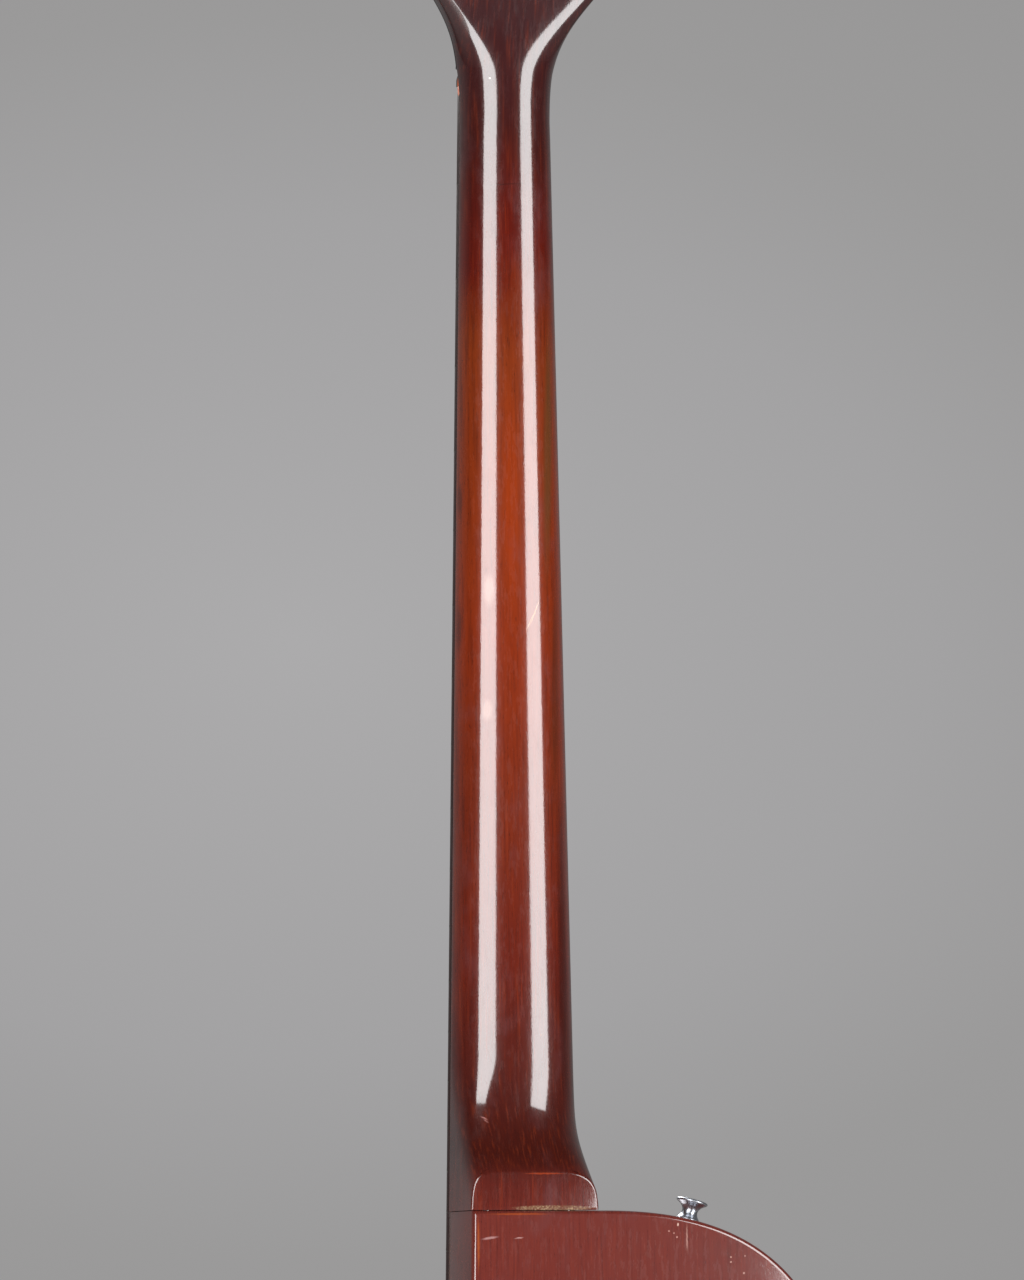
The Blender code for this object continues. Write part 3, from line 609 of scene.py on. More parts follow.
def dulled_metal(name, colour, dark, roughness, blotch, marks):
    """Plated or machined metal: blotches of haze over very fine marks."""
    material, tree, shader, place = new_finish(name, colour, roughness, metallic=1.0)
    haze = noise(tree, place, blotch, 5, 0.6)
    tone = mix(tree, spread(tree, haze, 0.42, 0.75), colour, dark)
    dull = spread(tree, haze, 0.4, 0.8, roughness, roughness + 0.16)
    fine = noise(tree, place, marks, 2)
    join(tree, tone, dull, relief(tree, fine, 0.08, 0.02 * MM), shader)
    return material


NICKEL = dulled_metal("dulled_nickel_plate", "#c3bfb6", "#a39d92", 0.16, 7 * MM, 0.35 * MM)
BRIGHT_NICKEL = dulled_metal("polished_nickel_plate", "#c6cad2", "#a9adb5", 0.3, 5 * MM, 0.3 * MM)
STEEL = dulled_metal("machined_steel", "#aeaeb0", "#86868a", 0.28, 3 * MM, 0.15 * MM)
BRASS = dulled_metal("turned_brass", "#c8a55c", "#9c7c3e", 0.26, 4 * MM, 0.2 * MM)
FRET_WIRE = dulled_metal("nickel_silver_fret_wire", "#bdb9ad", "#8f8a7c", 0.2, 2.5 * MM, 0.2 * MM)


# %% Plastics, bone and pearl


def moulded_plastic(name, colour, worn, roughness):
    """Moulded plastic: a faint ripple, polished by handling in soft patches."""
    material, tree, shader, place = new_finish(name, colour, roughness)
    patches = noise(tree, place, 11 * MM, 4, 0.6)
    handled = spread(tree, patches, 0.42, 0.7)
    tone = mix(tree, handled, colour, worn)
    gloss = spread(tree, patches, 0.4, 0.7, roughness, roughness * 0.6)
    ripple = noise(tree, place, 0.7 * MM, 1)
    join(tree, tone, gloss, relief(tree, ripple, 0.1, 0.05 * MM), shader)
    return material


BLACK = moulded_plastic("black_moulded_plastic", "#1a1a1b", "#242322", 0.34)
CREAM = moulded_plastic("cream_dot_plastic", "#e3dcc6", "#cfc5a8", 0.3)


def polished_bone():
    """Bone, filed and polished: warm white with fine lengthwise canals."""
    material, tree, shader, place = new_finish("polished_bone", "#e9e0c8", 0.32)
    shader.inputs["Subsurface Weight"].default_value = 0.15
    shader.inputs["Subsurface Radius"].default_value = (1.2 * MM, 0.8 * MM, 0.5 * MM)
    size = (1 / (6 * MM), 1 / (0.4 * MM), 1 / (0.4 * MM))
    stretched = add(tree, "Mapping", {"Vector": place, "Scale": size})
    canals = noise(tree, stretched, 1, 3)
    tone = mix(tree, spread(tree, canals, 0.5, 0.72), "#e9e0c8", "#cdbd94")
    join(tree, tone, None, relief(tree, canals, 0.06, 0.05 * MM), shader)
    return material


def pearl_celluloid():
    """Pearl-like celluloid: bright flakes that lie at many small angles."""
    material, tree, shader, place = new_finish("pearl_celluloid", "#dfe0dc", 0.16, coat=0.6)
    flakes = add(tree, "TexVoronoi", {"Vector": place, "Scale": 1 / (1.6 * MM)})
    swirl = noise(tree, flakes.outputs["Position"], 1.1 * MM, 2)
    tone = mix(tree, spread(tree, swirl, 0.3, 0.7), "#f2f1ea", "#aab0ae")
    bump = relief(tree, flakes.outputs["Distance"], 0.12, 0.1 * MM)
    join(tree, tone, None, bump, shader)
    return material


BONE = polished_bone()
PEARL = pearl_celluloid()


# %% [markdown]
# ### Rosewood and black lacquer
#
# Rosewood is oily and open-pored, with near-black streaks in chocolate brown, and players' oil
# leaves it satin. The front of the headstock is a thin veneer sprayed black and polished, so it
# shows soft hairline scratches in its reflections.

# %% Woods of the front


def oiled_rosewood():
    material, tree, shader, place = new_finish("oiled_rosewood", "#432a1e", 0.46)
    streaks = grain(tree, place, 2.4 * MM, 70 * MM, detail=6, roughness=0.65)
    brown = mix(tree, spread(tree, streaks, 0.35, 0.68), "#24150f", "#5d3a28")
    pores = grain(tree, place, 0.25 * MM, 5 * MM, detail=1)
    pored = mix(tree, spread(tree, pores, 0.6, 0.72, 0, 0.75), brown, "#150b08")
    satin = spread(tree, streaks, 0.3, 0.7, 0.4, 0.56)
    bump = relief(tree, pores, 0.25, 0.08 * MM, invert=True)
    join(tree, pored, satin, bump, shader)
    return material


def black_lacquer():
    material, tree, shader, place = new_finish("black_lacquered_veneer", "#121213", 0.3, coat=0.8)
    size = (1 / (0.3 * MM), 40, 60)
    hairlines = add(tree, "Mapping", {"Vector": place, "Rotation": (0, 0.5, 0), "Scale": size})
    scratches = noise(tree, hairlines, 1, 2)
    handled = noise(tree, place, 18 * MM, 3)
    tone = mix(tree, spread(tree, handled, 0.4, 0.7), "#111112", "#1b1a1a")
    gloss = spread(tree, scratches, 0.55, 0.8, 0.22, 0.42)
    join(tree, tone, gloss, None, shader)
    return material


ROSEWOOD = oiled_rosewood()
BLACK_VENEER = black_lacquer()


# %% [markdown]
# ### Wound strings
#
# A bass string is a steel core wrapped in round nickel wire. The wrap follows the string wherever it
# bends, so each string carries its own length as an attribute. The ridges are a sine wave along it, with
# painted shade in the grooves between them. The real wire is 0.3 to 0.5 mm thick. It is drawn at 0.6 mm
# so that it still shows.

# %% Round-wound string
WRAP_PITCH = 0.6 * MM


def wound_string():
    material, tree, shader, place = new_finish("round_wound_nickel_string", "#a9a69d", 0.3, metallic=1.0)
    length = add(tree, "Attribute", attribute_name="length").outputs["Fac"]
    turns = add(tree, "Math", {0: length, 1: math.tau / WRAP_PITCH}, operation="MULTIPLY")
    ridge = add(tree, "Math", {0: turns}, operation="SINE")
    grime = noise(tree, place, 9 * MM, 4)
    # Painted shade: the grooves between the wraps are darkened in the colour.
    groove_shade = spread(tree, ridge, -0.2, -1, 0, 0.8)
    dark = mix(tree, groove_shade, "#b4b1a8", "#3c3934")
    tone = mix(tree, spread(tree, grime, 0.5, 0.75, 0, 0.4), dark, "#7d776a")
    join(tree, tone, None, relief(tree, ridge, 0.7, 0.12 * MM), shader)
    return material


WOUND = wound_string()


# %% [markdown]
# ## The body
#
# The real body is a slab of mahogany sawn to its outline, with a small round worked along both
# edges. We lay a filled circle flat, press its points onto the outline, extrude it to the slab's
# thickness and bevel both rims. Under the neck joint the corner stays square, as the heel is
# glued against it. The neck pocket, pickup routs and control cavity are cut afterwards, as a
# router would.

# %% The body's outline
JOINT_Z = SCALE * 2 ** (-17 / 12)
NUT_HALF_WIDTH = nut_high.x
JOINT_HALF_WIDTH = 27.7 * MM
CROTCH = 222 * MM
BODY_EDGE = 2.2 * MM


def half_width(z):
    """Half the width of the neck and fingerboard at a height."""
    slope = (JOINT_HALF_WIDTH - NUT_HALF_WIDTH) / (SCALE - JOINT_Z)
    return NUT_HALF_WIDTH + (SCALE - z) * slope


def curve_points(handles, steps):
    """Points along a cubic curve from its two ends and two handles in millimetres."""
    knots = [Vector((across * MM, along * MM, 0)) for across, along in handles]
    return [(point.x, point.y) for point in interpolate_bezier(*knots, steps)]


def body_outline():
    """The outline as (x, z), from the shoulder round the lower bout to the cutaway."""
    joint = JOINT_Z / MM
    wall = half_width(CROTCH) / MM
    crotch = CROTCH / MM
    curves = (
        (((30, joint), (75, joint), (134, joint - 12), (134, joint - 100)), 60),
        (((134, joint - 100), (134, joint - 145), (111, 122), (111, 88)), 28),
        (((111, 88), (111, 40), (178, 8), (178, -58)), 36),
        (((178, -58), (178, -126), (98, -175), (0, -175)), 44),
        (((0, -175), (-98, -175), (-178, -126), (-178, -58)), 44),
        (((-178, -58), (-178, 8), (-111, 40), (-111, 88)), 36),
        (((-111, 88), (-111, 125), (-131, 150), (-131, 198)), 28),
        (((-131, 198), (-131, 232), (-122, 250), (-106, 250)), 22),
        (((-106, 250), (-84, 250), (-82, 196), (-57, 196)), 32),
        (((-57, 196), (-41, 196), (-wall, 206), (-wall, crotch)), 24),
    )
    outline = []
    for handles, steps in curves:
        outline += curve_points(handles, steps)[:-1]
    outline.append((-wall * MM, crotch * MM))
    outline.append((-JOINT_HALF_WIDTH, JOINT_Z))
    return outline


# %% Slab with rounded rims


def make_slab():
    slab = plate([(x, 0, z) for x, z in body_outline()], (0, GLUE_Y, 0))

    def on_rim(edge):
        start, end = ends(slab, edge)
        return abs(start.y - end.y) < GAP

    round_picked(slab, on_rim, BODY_EDGE, 6)
    return slab


slab = make_slab()

# %% Pocket, routs and cavities
TENON_HALF_WIDTH = 19 * MM
TENON_DEPTH = 25.7 * MM
PICKUPS = (("neck", 176 * MM), ("bridge", 78 * MM))
CONTROLS = ("neck_volume", "bridge_volume", "tone")
CAVITY_HALF_WIDTH = 17 * MM
CAVITY_ROOF = GLUE_Y - 6.5 * MM
CONTROL_HOLE = 4.8 * MM
COVER_MARGIN = 6 * MM
PICKUP_GAP = 0.6 * MM
ABOVE_FRONT = GLUE_Y + 2 * MM
pickup_low, pickup_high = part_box("pickup_neck")
cover_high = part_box("control_cover")[1]


def control_place(index):
    """A control's place on the slanted line: three knobs, then the jack."""
    return Vector((-126 * MM, 0, -8 * MM)) + Vector((13 * MM, 0, -33 * MM)) * index


def control_outline(radius, y, steps=18):
    """A bar with round ends round all the controls."""
    first = control_place(0)
    last = control_place(len(CONTROLS))
    heading = math.atan2(last.z - first.z, last.x - first.x)
    outline = []
    for centre, start in ((last, -90), (first, 90)):
        for step in range(steps + 1):
            angle = heading + math.radians(start + 180 * step / steps)
            reach = Vector((math.cos(angle), 0, math.sin(angle))) * radius
            outline.append(centre + reach + Vector((0, y, 0)))
    return outline


def rout_body():
    side = TENON_HALF_WIDTH + GAP
    pocket = block((-side, GLUE_Y - TENON_DEPTH - GAP, board_low.z), (side, ABOVE_FRONT, JOINT_Z + MM))
    carve(slab, pocket)
    reach_x = pickup_high.x + PICKUP_GAP
    reach_z = (pickup_high.z - pickup_low.z) / 2 + PICKUP_GAP
    for _, z in PICKUPS:
        low = (-reach_x, pickup_low.y - 2 * MM, z - reach_z)
        carve(slab, block(low, (reach_x, ABOVE_FRONT, z + reach_z)))
    carve(slab, plate(control_outline(CAVITY_HALF_WIDTH, -MM), (0, CAVITY_ROOF + MM, 0)))
    recess = CAVITY_HALF_WIDTH + COVER_MARGIN + GAP
    carve(slab, plate(control_outline(recess, -MM), (0, cover_high.y + 2 * GAP + MM, 0)))
    for index in range(len(CONTROLS) + 1):
        spot = control_place(index)
        start = (spot.x, CAVITY_ROOF - 3 * MM, spot.z)
        carve(slab, rod(start, (spot.x, ABOVE_FRONT, spot.z), CONTROL_HOLE))


rout_body()
print("body: %d faces after routing" % len(slab.data.polygons))


# %% [markdown]
# ## The neck
#
# The real neck is one length of mahogany, from the tenon in the body to the crown of the tilted
# headstock. Its back is rounded with rasp and scraper, and it sweeps out into a squarer heel that
# ends in a flat cap. A plain primitive can't hold such a shape, so a filled circle is extruded
# into a bar with one ring for every station, and each ring is pressed onto the section the neck
# has there. A section is half a superellipse: its power says how square it is.

# %% Sizes along the neck
NECK_SIDES = 120
ROUND_POWER = 2.05
DEPTH_AT_FRET_1 = 15.4 * MM
DEPTH_AT_FRET_12 = 17.4 * MM
SWEEP_LENGTH = 62 * MM
SWEEP_DEPTH = 31 * MM
BASS_SQUARING = (50 * MM, 11, 3)
TREBLE_SQUARING = (64 * MM, 10, 1.7)
FACET_Y = 2.5 * MM
TENON_SQUARENESS = 24
CLOSE_STATIONS = 1.5 * MM
WIDE_STATIONS = 6 * MM


def fret_z(number):
    """Height of a fret above the saddle line."""
    return SCALE * 2 ** (-number / 12)


def neck_depth(z):
    """Depth of the neck behind the glue line, with its sweep into the heel."""
    slope = (DEPTH_AT_FRET_12 - DEPTH_AT_FRET_1) / (fret_z(1) - fret_z(12))
    sweep = max(0, JOINT_Z + SWEEP_LENGTH - z) / SWEEP_LENGTH
    return DEPTH_AT_FRET_12 - (z - fret_z(12)) * slope + SWEEP_DEPTH * sweep**2


def neck_power(z, squaring):
    """How square one side of the section is: round on the neck, square at the heel."""
    length, gain, sharpness = squaring
    squareness = max(0, JOINT_Z + length - z) / length
    return ROUND_POWER + gain * squareness**sharpness


# %% Sizes of the headstock
NUT_THICKNESS = nut_high.z - nut_low.z
TILT = math.radians(15)
BEND_LENGTH = 62 * MM
BEND_FILL = 24 * MM
HEAD_THICKNESS = 13.2 * MM
HEAD_SQUARENESS = 4
HEAD_LENGTH = 168 * MM
VENEER = 1.5 * MM
FLARE = ((-22, 19.8), (16, 19.8), (23, 27.5), (50, 49))
HEAD_SIDE = ((50, 49), (58, 55.4), (104, 41), (138, 39))
CROWN_STEP = math.radians(6.3)


def head_directions(tilt):
    """The directions up the headstock and out of its front at a tilt."""
    up = Vector((0, -math.sin(tilt), math.cos(tilt)))
    front = Vector((0, math.cos(tilt), math.sin(tilt)))
    return up, front


HEAD_UP, HEAD_FRONT = head_directions(TILT)
HEAD_WOOD_START = Vector((0, GLUE_Y, SCALE + NUT_THICKNESS + 2 * GAP))
HEAD_START = HEAD_WOOD_START + HEAD_FRONT * (VENEER + GAP)


def head_point(x, s, h):
    """A point of the headstock: x, distance up it, height above its veneer."""
    return HEAD_START + Vector((x, 0, 0)) + HEAD_UP * s + HEAD_FRONT * h


def head_place(x, s, h=0.0):
    """A place on the headstock whose own Z points out of its front."""
    return Matrix.Translation(head_point(x, s, h)) @ Matrix.Rotation(TILT - math.pi / 2, 4, "X")


def head_outline():
    """Distance up the headstock and half width, from just above the nut to the crown."""
    sides = [(s, width) for s, width in curve_points(FLARE, 40) if s > 0]
    sides += curve_points(HEAD_SIDE, 24)[1:]
    start, half = (value * MM for value in HEAD_SIDE[-1])
    top = []
    for step in range(1, 15):
        share = math.sin(step * CROWN_STEP)
        top.append((start + share * (HEAD_LENGTH - start), half * (1 - share**3) ** (1 / 3)))
    return sides + top


# %% Sections of the neck


def section(middle, out, half, depth, bass_power, treble_power):
    """One ring: flat along the glue line, rounded behind it."""
    ring = []
    for step in range(NECK_SIDES):
        angle = math.tau * (step / NECK_SIDES + 0.25)
        across = math.cos(angle)
        behind = math.sin(angle)
        power = bass_power if across > 0 else treble_power
        if behind <= 1e-6:
            ring.append(middle + Vector((half * across, 0, 0)))
            continue
        x = half * math.copysign(abs(across) ** (2 / power), across)
        ring.append(middle + Vector((x, 0, 0)) - out * depth * behind ** (2 / power))
    return ring


def neck_rings():
    """Every ring of the neck: tenon, heel and neck, then the bend and the headstock."""
    out = Vector((0, 1, 0))
    square = TENON_SQUARENESS
    rings = []
    for z in (board_low.z + MM, JOINT_Z + GAP):
        middle = Vector((0, GLUE_Y - GAP, z))
        rings.append(section(middle, out, TENON_HALF_WIDTH, TENON_DEPTH, square, square))
    flat = [(s, width) for s, width in curve_points(FLARE, 40) if s < 0]
    z = JOINT_Z + GAP
    while z < HEAD_WOOD_START.z + flat[0][0] - 4 * MM:
        powers = (neck_power(z, BASS_SQUARING), neck_power(z, TREBLE_SQUARING))
        rings.append(section(Vector((0, GLUE_Y, z)), out, half_width(z), neck_depth(z), *powers))
        z += CLOSE_STATIONS if z < JOINT_Z + TREBLE_SQUARING[0] else WIDE_STATIONS
    for s, width in flat + head_outline():
        share = min(1, (s - flat[0][0]) / BEND_LENGTH)
        ease = share * share * (3 - 2 * share)
        depth = DEPTH_AT_FRET_1 + (HEAD_THICKNESS - DEPTH_AT_FRET_1) * ease
        depth += math.sin(TILT) * max(0, BEND_FILL - abs(s)) ** 2 / (4 * BEND_FILL)
        power = ROUND_POWER + HEAD_SQUARENESS * ease**3
        climb = Vector((0, 0, s)) if s < 0 else HEAD_UP * s
        front = head_directions(TILT * ease)[1]
        rings.append(section(HEAD_WOOD_START + climb, front, width, depth, power, power))
    return rings


neck = pressed_bar(neck_rings())
print("neck: %d stations of %d points" % (len(neck_rings()), NECK_SIDES))

# %% Saw off the heel cap and drill the headstock
CAP_EDGE = 0.9 * MM
POST_OFFSET = 27 * MM
TUNER_ROWS = (60 * MM, 120 * MM)
POST_HOLE = 6.2 * MM
ROD_SLOT_HALF = 3.3 * MM
ROD_SLOT_START = 250 * MM
POCKET_HALF = 6.5 * MM
POCKET_START = SCALE + 11 * MM
POCKET_END = SCALE + 34 * MM

String = namedtuple("String", "pitch gauge side row turns set_back")
STRINGS = (
    String("e", 2.6 * MM, 1, 0, 2, 3.5 * MM),
    String("a", 2.1 * MM, 1, 1, 2, 2.4 * MM),
    String("d", 1.65 * MM, -1, 1, 2, 1.3 * MM),
    String("g", 1.15 * MM, -1, 0, 3, 0.2 * MM),
)


def saw_cap():
    """Cut the heel flat and round the edge of the cut a little."""
    heel_top = JOINT_Z + SWEEP_LENGTH
    pick(neck, "VERT", lambda vertex: JOINT_Z + 0.5 * GAP < vertex.co.z < heel_top)
    cut = {"plane_co": (0, FACET_Y, 0), "plane_no": (0, -1, 0), "threshold": 0.01 * MM}
    bpy.ops.mesh.bisect(use_fill=True, clear_outer=True, **cut)
    bpy.ops.mesh.select_all(action="SELECT")
    bpy.ops.mesh.normals_make_consistent(inside=False)

    def on_cut(edge):
        start, end = ends(neck, edge)
        level = max(abs(start.y - FACET_Y), abs(end.y - FACET_Y)) < 0.02 * MM
        return level and max(start.z, end.z) > JOINT_Z + 2 * GAP

    round_picked(neck, on_cut, CAP_EDGE, 4)


def rout_rod_channel():
    """The truss rod's slot, and the pocket round its nut."""
    low = (-ROD_SLOT_HALF, GLUE_Y - 12 * MM, ROD_SLOT_START)
    carve(neck, block(low, (ROD_SLOT_HALF, GLUE_Y + MM, POCKET_START + MM)))
    low = (-POCKET_HALF, GLUE_Y - 14.5 * MM, POCKET_START)
    carve(neck, block(low, (POCKET_HALF, GLUE_Y + MM, POCKET_END)))


def drill_posts(piece, depth, sides=32):
    """Drill the four post holes to a depth under the headstock's front."""
    for string in STRINGS:
        x = string.side * POST_OFFSET
        s = TUNER_ROWS[string.row]
        carve(piece, rod(head_point(x, s, -depth), head_point(x, s, 5 * MM), POST_HOLE, sides))


saw_cap()
rout_rod_channel()
drill_posts(neck, 20 * MM)
print("neck: %d faces" % len(neck.data.polygons))


# %% [markdown]
# ## Cherry lacquer over mahogany
#
# The wood is mahogany: straight fibres with short dark pores. It was stained cherry and sprayed with
# clear nitrocellulose lacquer, which stays glossy but picks up handling wear. The colour is darkest in
# the flare of the headstock and in the sweep of the heel. In the sweep that dark is painted shade, and
# the flare's top stops carry a painted purple-grey reflection of the room. Along the middle of the neck
# the stain has worn to orange-brown. That follows the height above the saddles, so a ramp over Z gives
# the base colour. The lacquer itself is the shader's clear coat.
#
# The marks of use sit where the photograph shows them, and so does some painted light. There are painted
# highlights on the left reflection stripe and at its lower end, and painted shade down the right flank
# of the neck. A painted orange edge light lies on the rounded edges of the heel cap and body, where the
# lacquer is also worn thin. Each is given by its pixel there, and a ray from the camera through that
# pixel finds its place on the wood. Its two sizes are half its width and half its height in millimetres,
# and its tilt is in degrees.

# %% Places of the marks and the painted light
Mark = namedtuple("Mark", "across down wide tall tilt colour strength")
MARKS_AND_PAINTED_LIGHT = (
    Mark(490, 78, 0.5, 0.5, 0, "#e8dcd2", 0.9),
    Mark(508, 184, 12.5, 0.22, -4, "#1c0806", 0.7),
    Mark(459.5, 500, 1.6, 9, 0, "#3a1208", 0.55),
    Mark(458.5, 630, 1.8, 14, 0, "#3a1208", 0.5),
    Mark(511, 505, 4.5, 62, 0, "#a63804", 0.28),
    # Painted shade down the right flank of the neck: olive-brown higher up, near black lower down.
    Mark(548, 450, 3.6, 78, 2, "#5a3a1c", 0.65),
    Mark(555, 690, 3.6, 70, 2, "#55220f", 0.65),
    Mark(563, 960, 4.6, 90, 0, "#300d09", 0.62),
    # Painted highlight: pale patches that brighten the left reflection stripe.
    Mark(489, 590, 3.2, 9, 0, "#c9a99a", 0.3),
    Mark(487, 710, 3.0, 6, 0, "#c9a99a", 0.25),
    Mark(535, 612, 0.3, 8, 22, "#d9a070", 0.6),
    Mark(530, 622, 0.25, 6, 25, "#d9a070", 0.5),
    Mark(541, 1035, 0.7, 0.6, 0, "#6b3413", 0.9),
    # Painted highlight: the tail of the left reflection stripe, bending out at the heel.
    Mark(484, 1118, 2.2, 0.3, 28, "#c9908a", 0.7),
    Mark(486, 1121, 1.6, 0.25, 40, "#c9908a", 0.6),
    # Orange along the rounded edges of the heel cap and body: lacquer worn thin there, and painted light
    # where these edges face the softboxes.
    Mark(545, 1173.5, 11, 0.5, 0, "#a03c14", 0.6),
    Mark(478.5, 1245, 0.7, 14, 0, "#a8501c", 0.6),
    Mark(520, 1214, 17, 0.6, 0, "#a0481c", 0.6),
    Mark(490, 1238, 4.6, 0.7, -8, "#b98f8d", 0.6),
    Mark(519, 1238, 2.6, 0.35, -6, "#c49b96", 0.6),
    Mark(687, 1238, 0.35, 7.5, 0, "#c49b8e", 0.65),
    Mark(678, 1224.5, 0.5, 1.0, 0, "#e6c7b6", 0.8),
    Mark(669, 1231, 0.5, 0.4, 0, "#d8a99c", 0.8),
    Mark(674, 1233, 0.4, 0.4, 0, "#d8a99c", 0.8),
    Mark(677, 1237, 0.4, 0.5, 0, "#d8a99c", 0.7),
    Mark(731, 1257, 0.5, 0.5, 0, "#e0bdb0", 0.8),
    Mark(731, 1262, 0.5, 0.4, 0, "#e0bdb0", 0.8),
    Mark(745, 1256, 0.4, 0.4, 0, "#e0bdb0", 0.7),
    Mark(744, 1273, 0.6, 0.5, 0, "#e0bdb0", 0.7),
)


def on_wood(across, down):
    """The place on the neck or body that the camera sees at a pixel."""
    bpy.context.view_layer.update()
    direction = pixel_ray(across, down)
    hits = [wood.ray_cast(CAMERA_PLACE, direction) for wood in (neck, slab)]
    places = [place for found, place, _, _ in hits if found]
    if not places:
        raise ValueError("the ray through pixel %s, %s misses the wood" % (across, down))
    return min(places, key=lambda place: (place - CAMERA_PLACE).length)


# %% Stain and painted shade along the neck
STAIN_DRIFT = 25 * MM
# Colours by height. The darkest stops, round 0.312 in the heel sweep, are painted shade. The purple-grey
# stops at 0.80 and 0.95 on the headstock flare hold a painted reflection of the room.
STAIN_AND_PAINTED_SHADE = (
    (-0.18, "#662720"),
    (0.288, "#672821"),
    (0.2905, "#5e2018"),
    (0.302, "#551a12"),
    (0.312, "#3a0a02"),
    (0.345, "#49160f"),
    (0.40, "#5f1a0c"),
    (0.464, "#6d230c"),
    (0.527, "#7c2707"),
    (0.60, "#7c2a05"),
    (0.66, "#762b08"),
    (0.70, "#590f02"),
    (0.75, "#3c0f0b"),
    (0.80, "#37181a"),
    (0.95, "#351516"),
)


def stain_and_shade_colour(tree, place, height):
    """The stain's colour by height, with painted shade in the heel sweep and a painted reflection tint
    on the flare, uneven along the neck and even on the body.
    """
    drift = grain(tree, place, 14 * MM, 60 * MM)
    uneven = add(tree, "MapRange", {"Value": drift, "To Min": -STAIN_DRIFT, "To Max": STAIN_DRIFT})
    on_neck = spread(tree, height, 0.33, 0.36)
    shift = add(tree, "Math", {0: uneven, 1: on_neck}, operation="MULTIPLY")
    shifted = add(tree, "Math", {0: height, 1: shift}, operation="ADD")
    bottom = STAIN_AND_PAINTED_SHADE[0][0]
    top = STAIN_AND_PAINTED_SHADE[-1][0]
    share = add(tree, "MapRange", {"Value": shifted, "From Min": bottom, "From Max": top})
    stops = [((z - bottom) / (top - bottom), colour) for z, colour in STAIN_AND_PAINTED_SHADE]
    return add(tree, "ValToRGB", {"Fac": share}, stops=[stops[0], stops[-1], *stops[1:-1]])


# %% Cherry lacquer
GLUE_LINE = Vector((8 * MM, FACET_Y, JOINT_Z + 1.1 * MM))
GLUE_SIZE = (20 * MM, 2.5 * MM, 1.3 * MM)
MARK_DEPTH = 4 * MM


def cherry_lacquer():
    material, tree, shader, place = new_finish(
        "cherry_lacquered_mahogany", "#6a2418", 0.3, coat=1.0, coat_roughness=0.065, coat_ior=1.85
    )
    shader.inputs["Specular IOR Level"].default_value = 0.3
    height = add(tree, "SeparateXYZ", {0: place}).outputs["Z"]
    # Stain by height, with painted shade in the heel sweep and a painted reflection tint on the flare.
    stain_and_shade = stain_and_shade_colour(tree, place, height)
    fibres = grain(tree, place, 0.9 * MM, 26 * MM, detail=5)
    light_fibre = mix(tree, spread(tree, fibres, 0.5, 0.75, 0, 0.13), stain_and_shade, "#b4481c")
    dark_fibre = mix(tree, spread(tree, fibres, 0.5, 0.3, 0, 0.3), light_fibre, "#2a0806")
    pores = grain(tree, place, 0.28 * MM, 3.5 * MM, detail=1)
    pored = mix(tree, spread(tree, pores, 0.62, 0.74, 0, 0.4), dark_fibre, "#220604")
    cloud = grain(tree, place, 16 * MM, 34 * MM, detail=4, roughness=0.6)
    tone = mix(tree, spread(tree, cloud, 0.52, 0.74, 0, 0.3), pored, "#684244")

    wobble = noise(tree, place, 1.4 * MM, 2).outputs["Color"]
    sockets = {0: wobble, 1: (-0.5, -0.5, -0.5)}
    nudge = add(tree, "VectorMath", sockets, operation="ADD")
    small = add(tree, "VectorMath", {0: nudge, 3: 0.5 * MM}, operation="SCALE")
    ragged = add(tree, "VectorMath", {0: place, 1: small}, operation="ADD")
    # Each patch mixes its colour into the tone. Most are wear, dings and scratches. Some are painted
    # highlights, painted shade and painted edge light.
    for mark in MARKS_AND_PAINTED_LIGHT:
        centre = on_wood(mark.across, mark.down)
        size = (mark.wide * MM, MARK_DEPTH, mark.tall * MM)
        patch = soft_patch(tree, ragged, centre, size, math.radians(mark.tilt))
        amount = add(tree, "Math", {0: patch, 1: mark.strength}, operation="MULTIPLY")
        tone = mix(tree, amount, tone, mark.colour)

    speckle = noise(tree, place, 0.7 * MM, 3, 0.7)
    glue = soft_patch(tree, place, GLUE_LINE, GLUE_SIZE, soft=0.35)
    chipped = add(tree, "Math", {0: glue, 1: spread(tree, speckle, 0.38, 0.5)}, operation="MULTIPLY")
    glue_colour = mix(tree, spread(tree, speckle, 0.5, 0.62), "#6e4a34", "#a08468")
    tone = mix(tree, chipped, tone, glue_colour)

    scuffs = grain(tree, place, 2.2 * MM, 9 * MM, detail=6, roughness=0.7)
    worn = spread(tree, scuffs, 0.45, 0.75, 0.22, 0.42)
    ripple = noise(tree, place, 9 * MM, 2)
    sunk = add(tree, "Math", {0: pores, 1: ripple}, operation="ADD")
    join(tree, tone, worn, relief(tree, sunk, 0.05, 0.12 * MM), shader)
    return material


CHERRY = cherry_lacquer()
finish(slab, "body_slab", CHERRY, nodes=("body",))
finish(neck, "neck_carved", CHERRY, nodes=("neck",), angle=40)


# %% [markdown]
# ## Fingerboard and frets
#
# The board is one long plank of rosewood with a gently crowned top. It widens evenly from the nut
# to its end, so two sections are enough: a filled circle is pressed onto the first and extruded to
# the second. Frets are nickel-silver wire. Each follows the crown, and its ends are filed at a
# slant, so a hand doesn't catch on them. The markers are pearl dots let into the wood.

# %% Fingerboard
BOARD_TOP = GLUE_Y + 6 * MM
BOARD_CROWN = 1.2 * MM
FRETS = 20
SLOT_HALF = 0.3 * MM
SLOT_DEPTH = 3 * MM
BEYOND_BOARD = 40 * MM


def crown_y(x, z):
    """Height of the board's crowned top."""
    return BOARD_TOP - BOARD_CROWN * (x / half_width(z)) ** 2


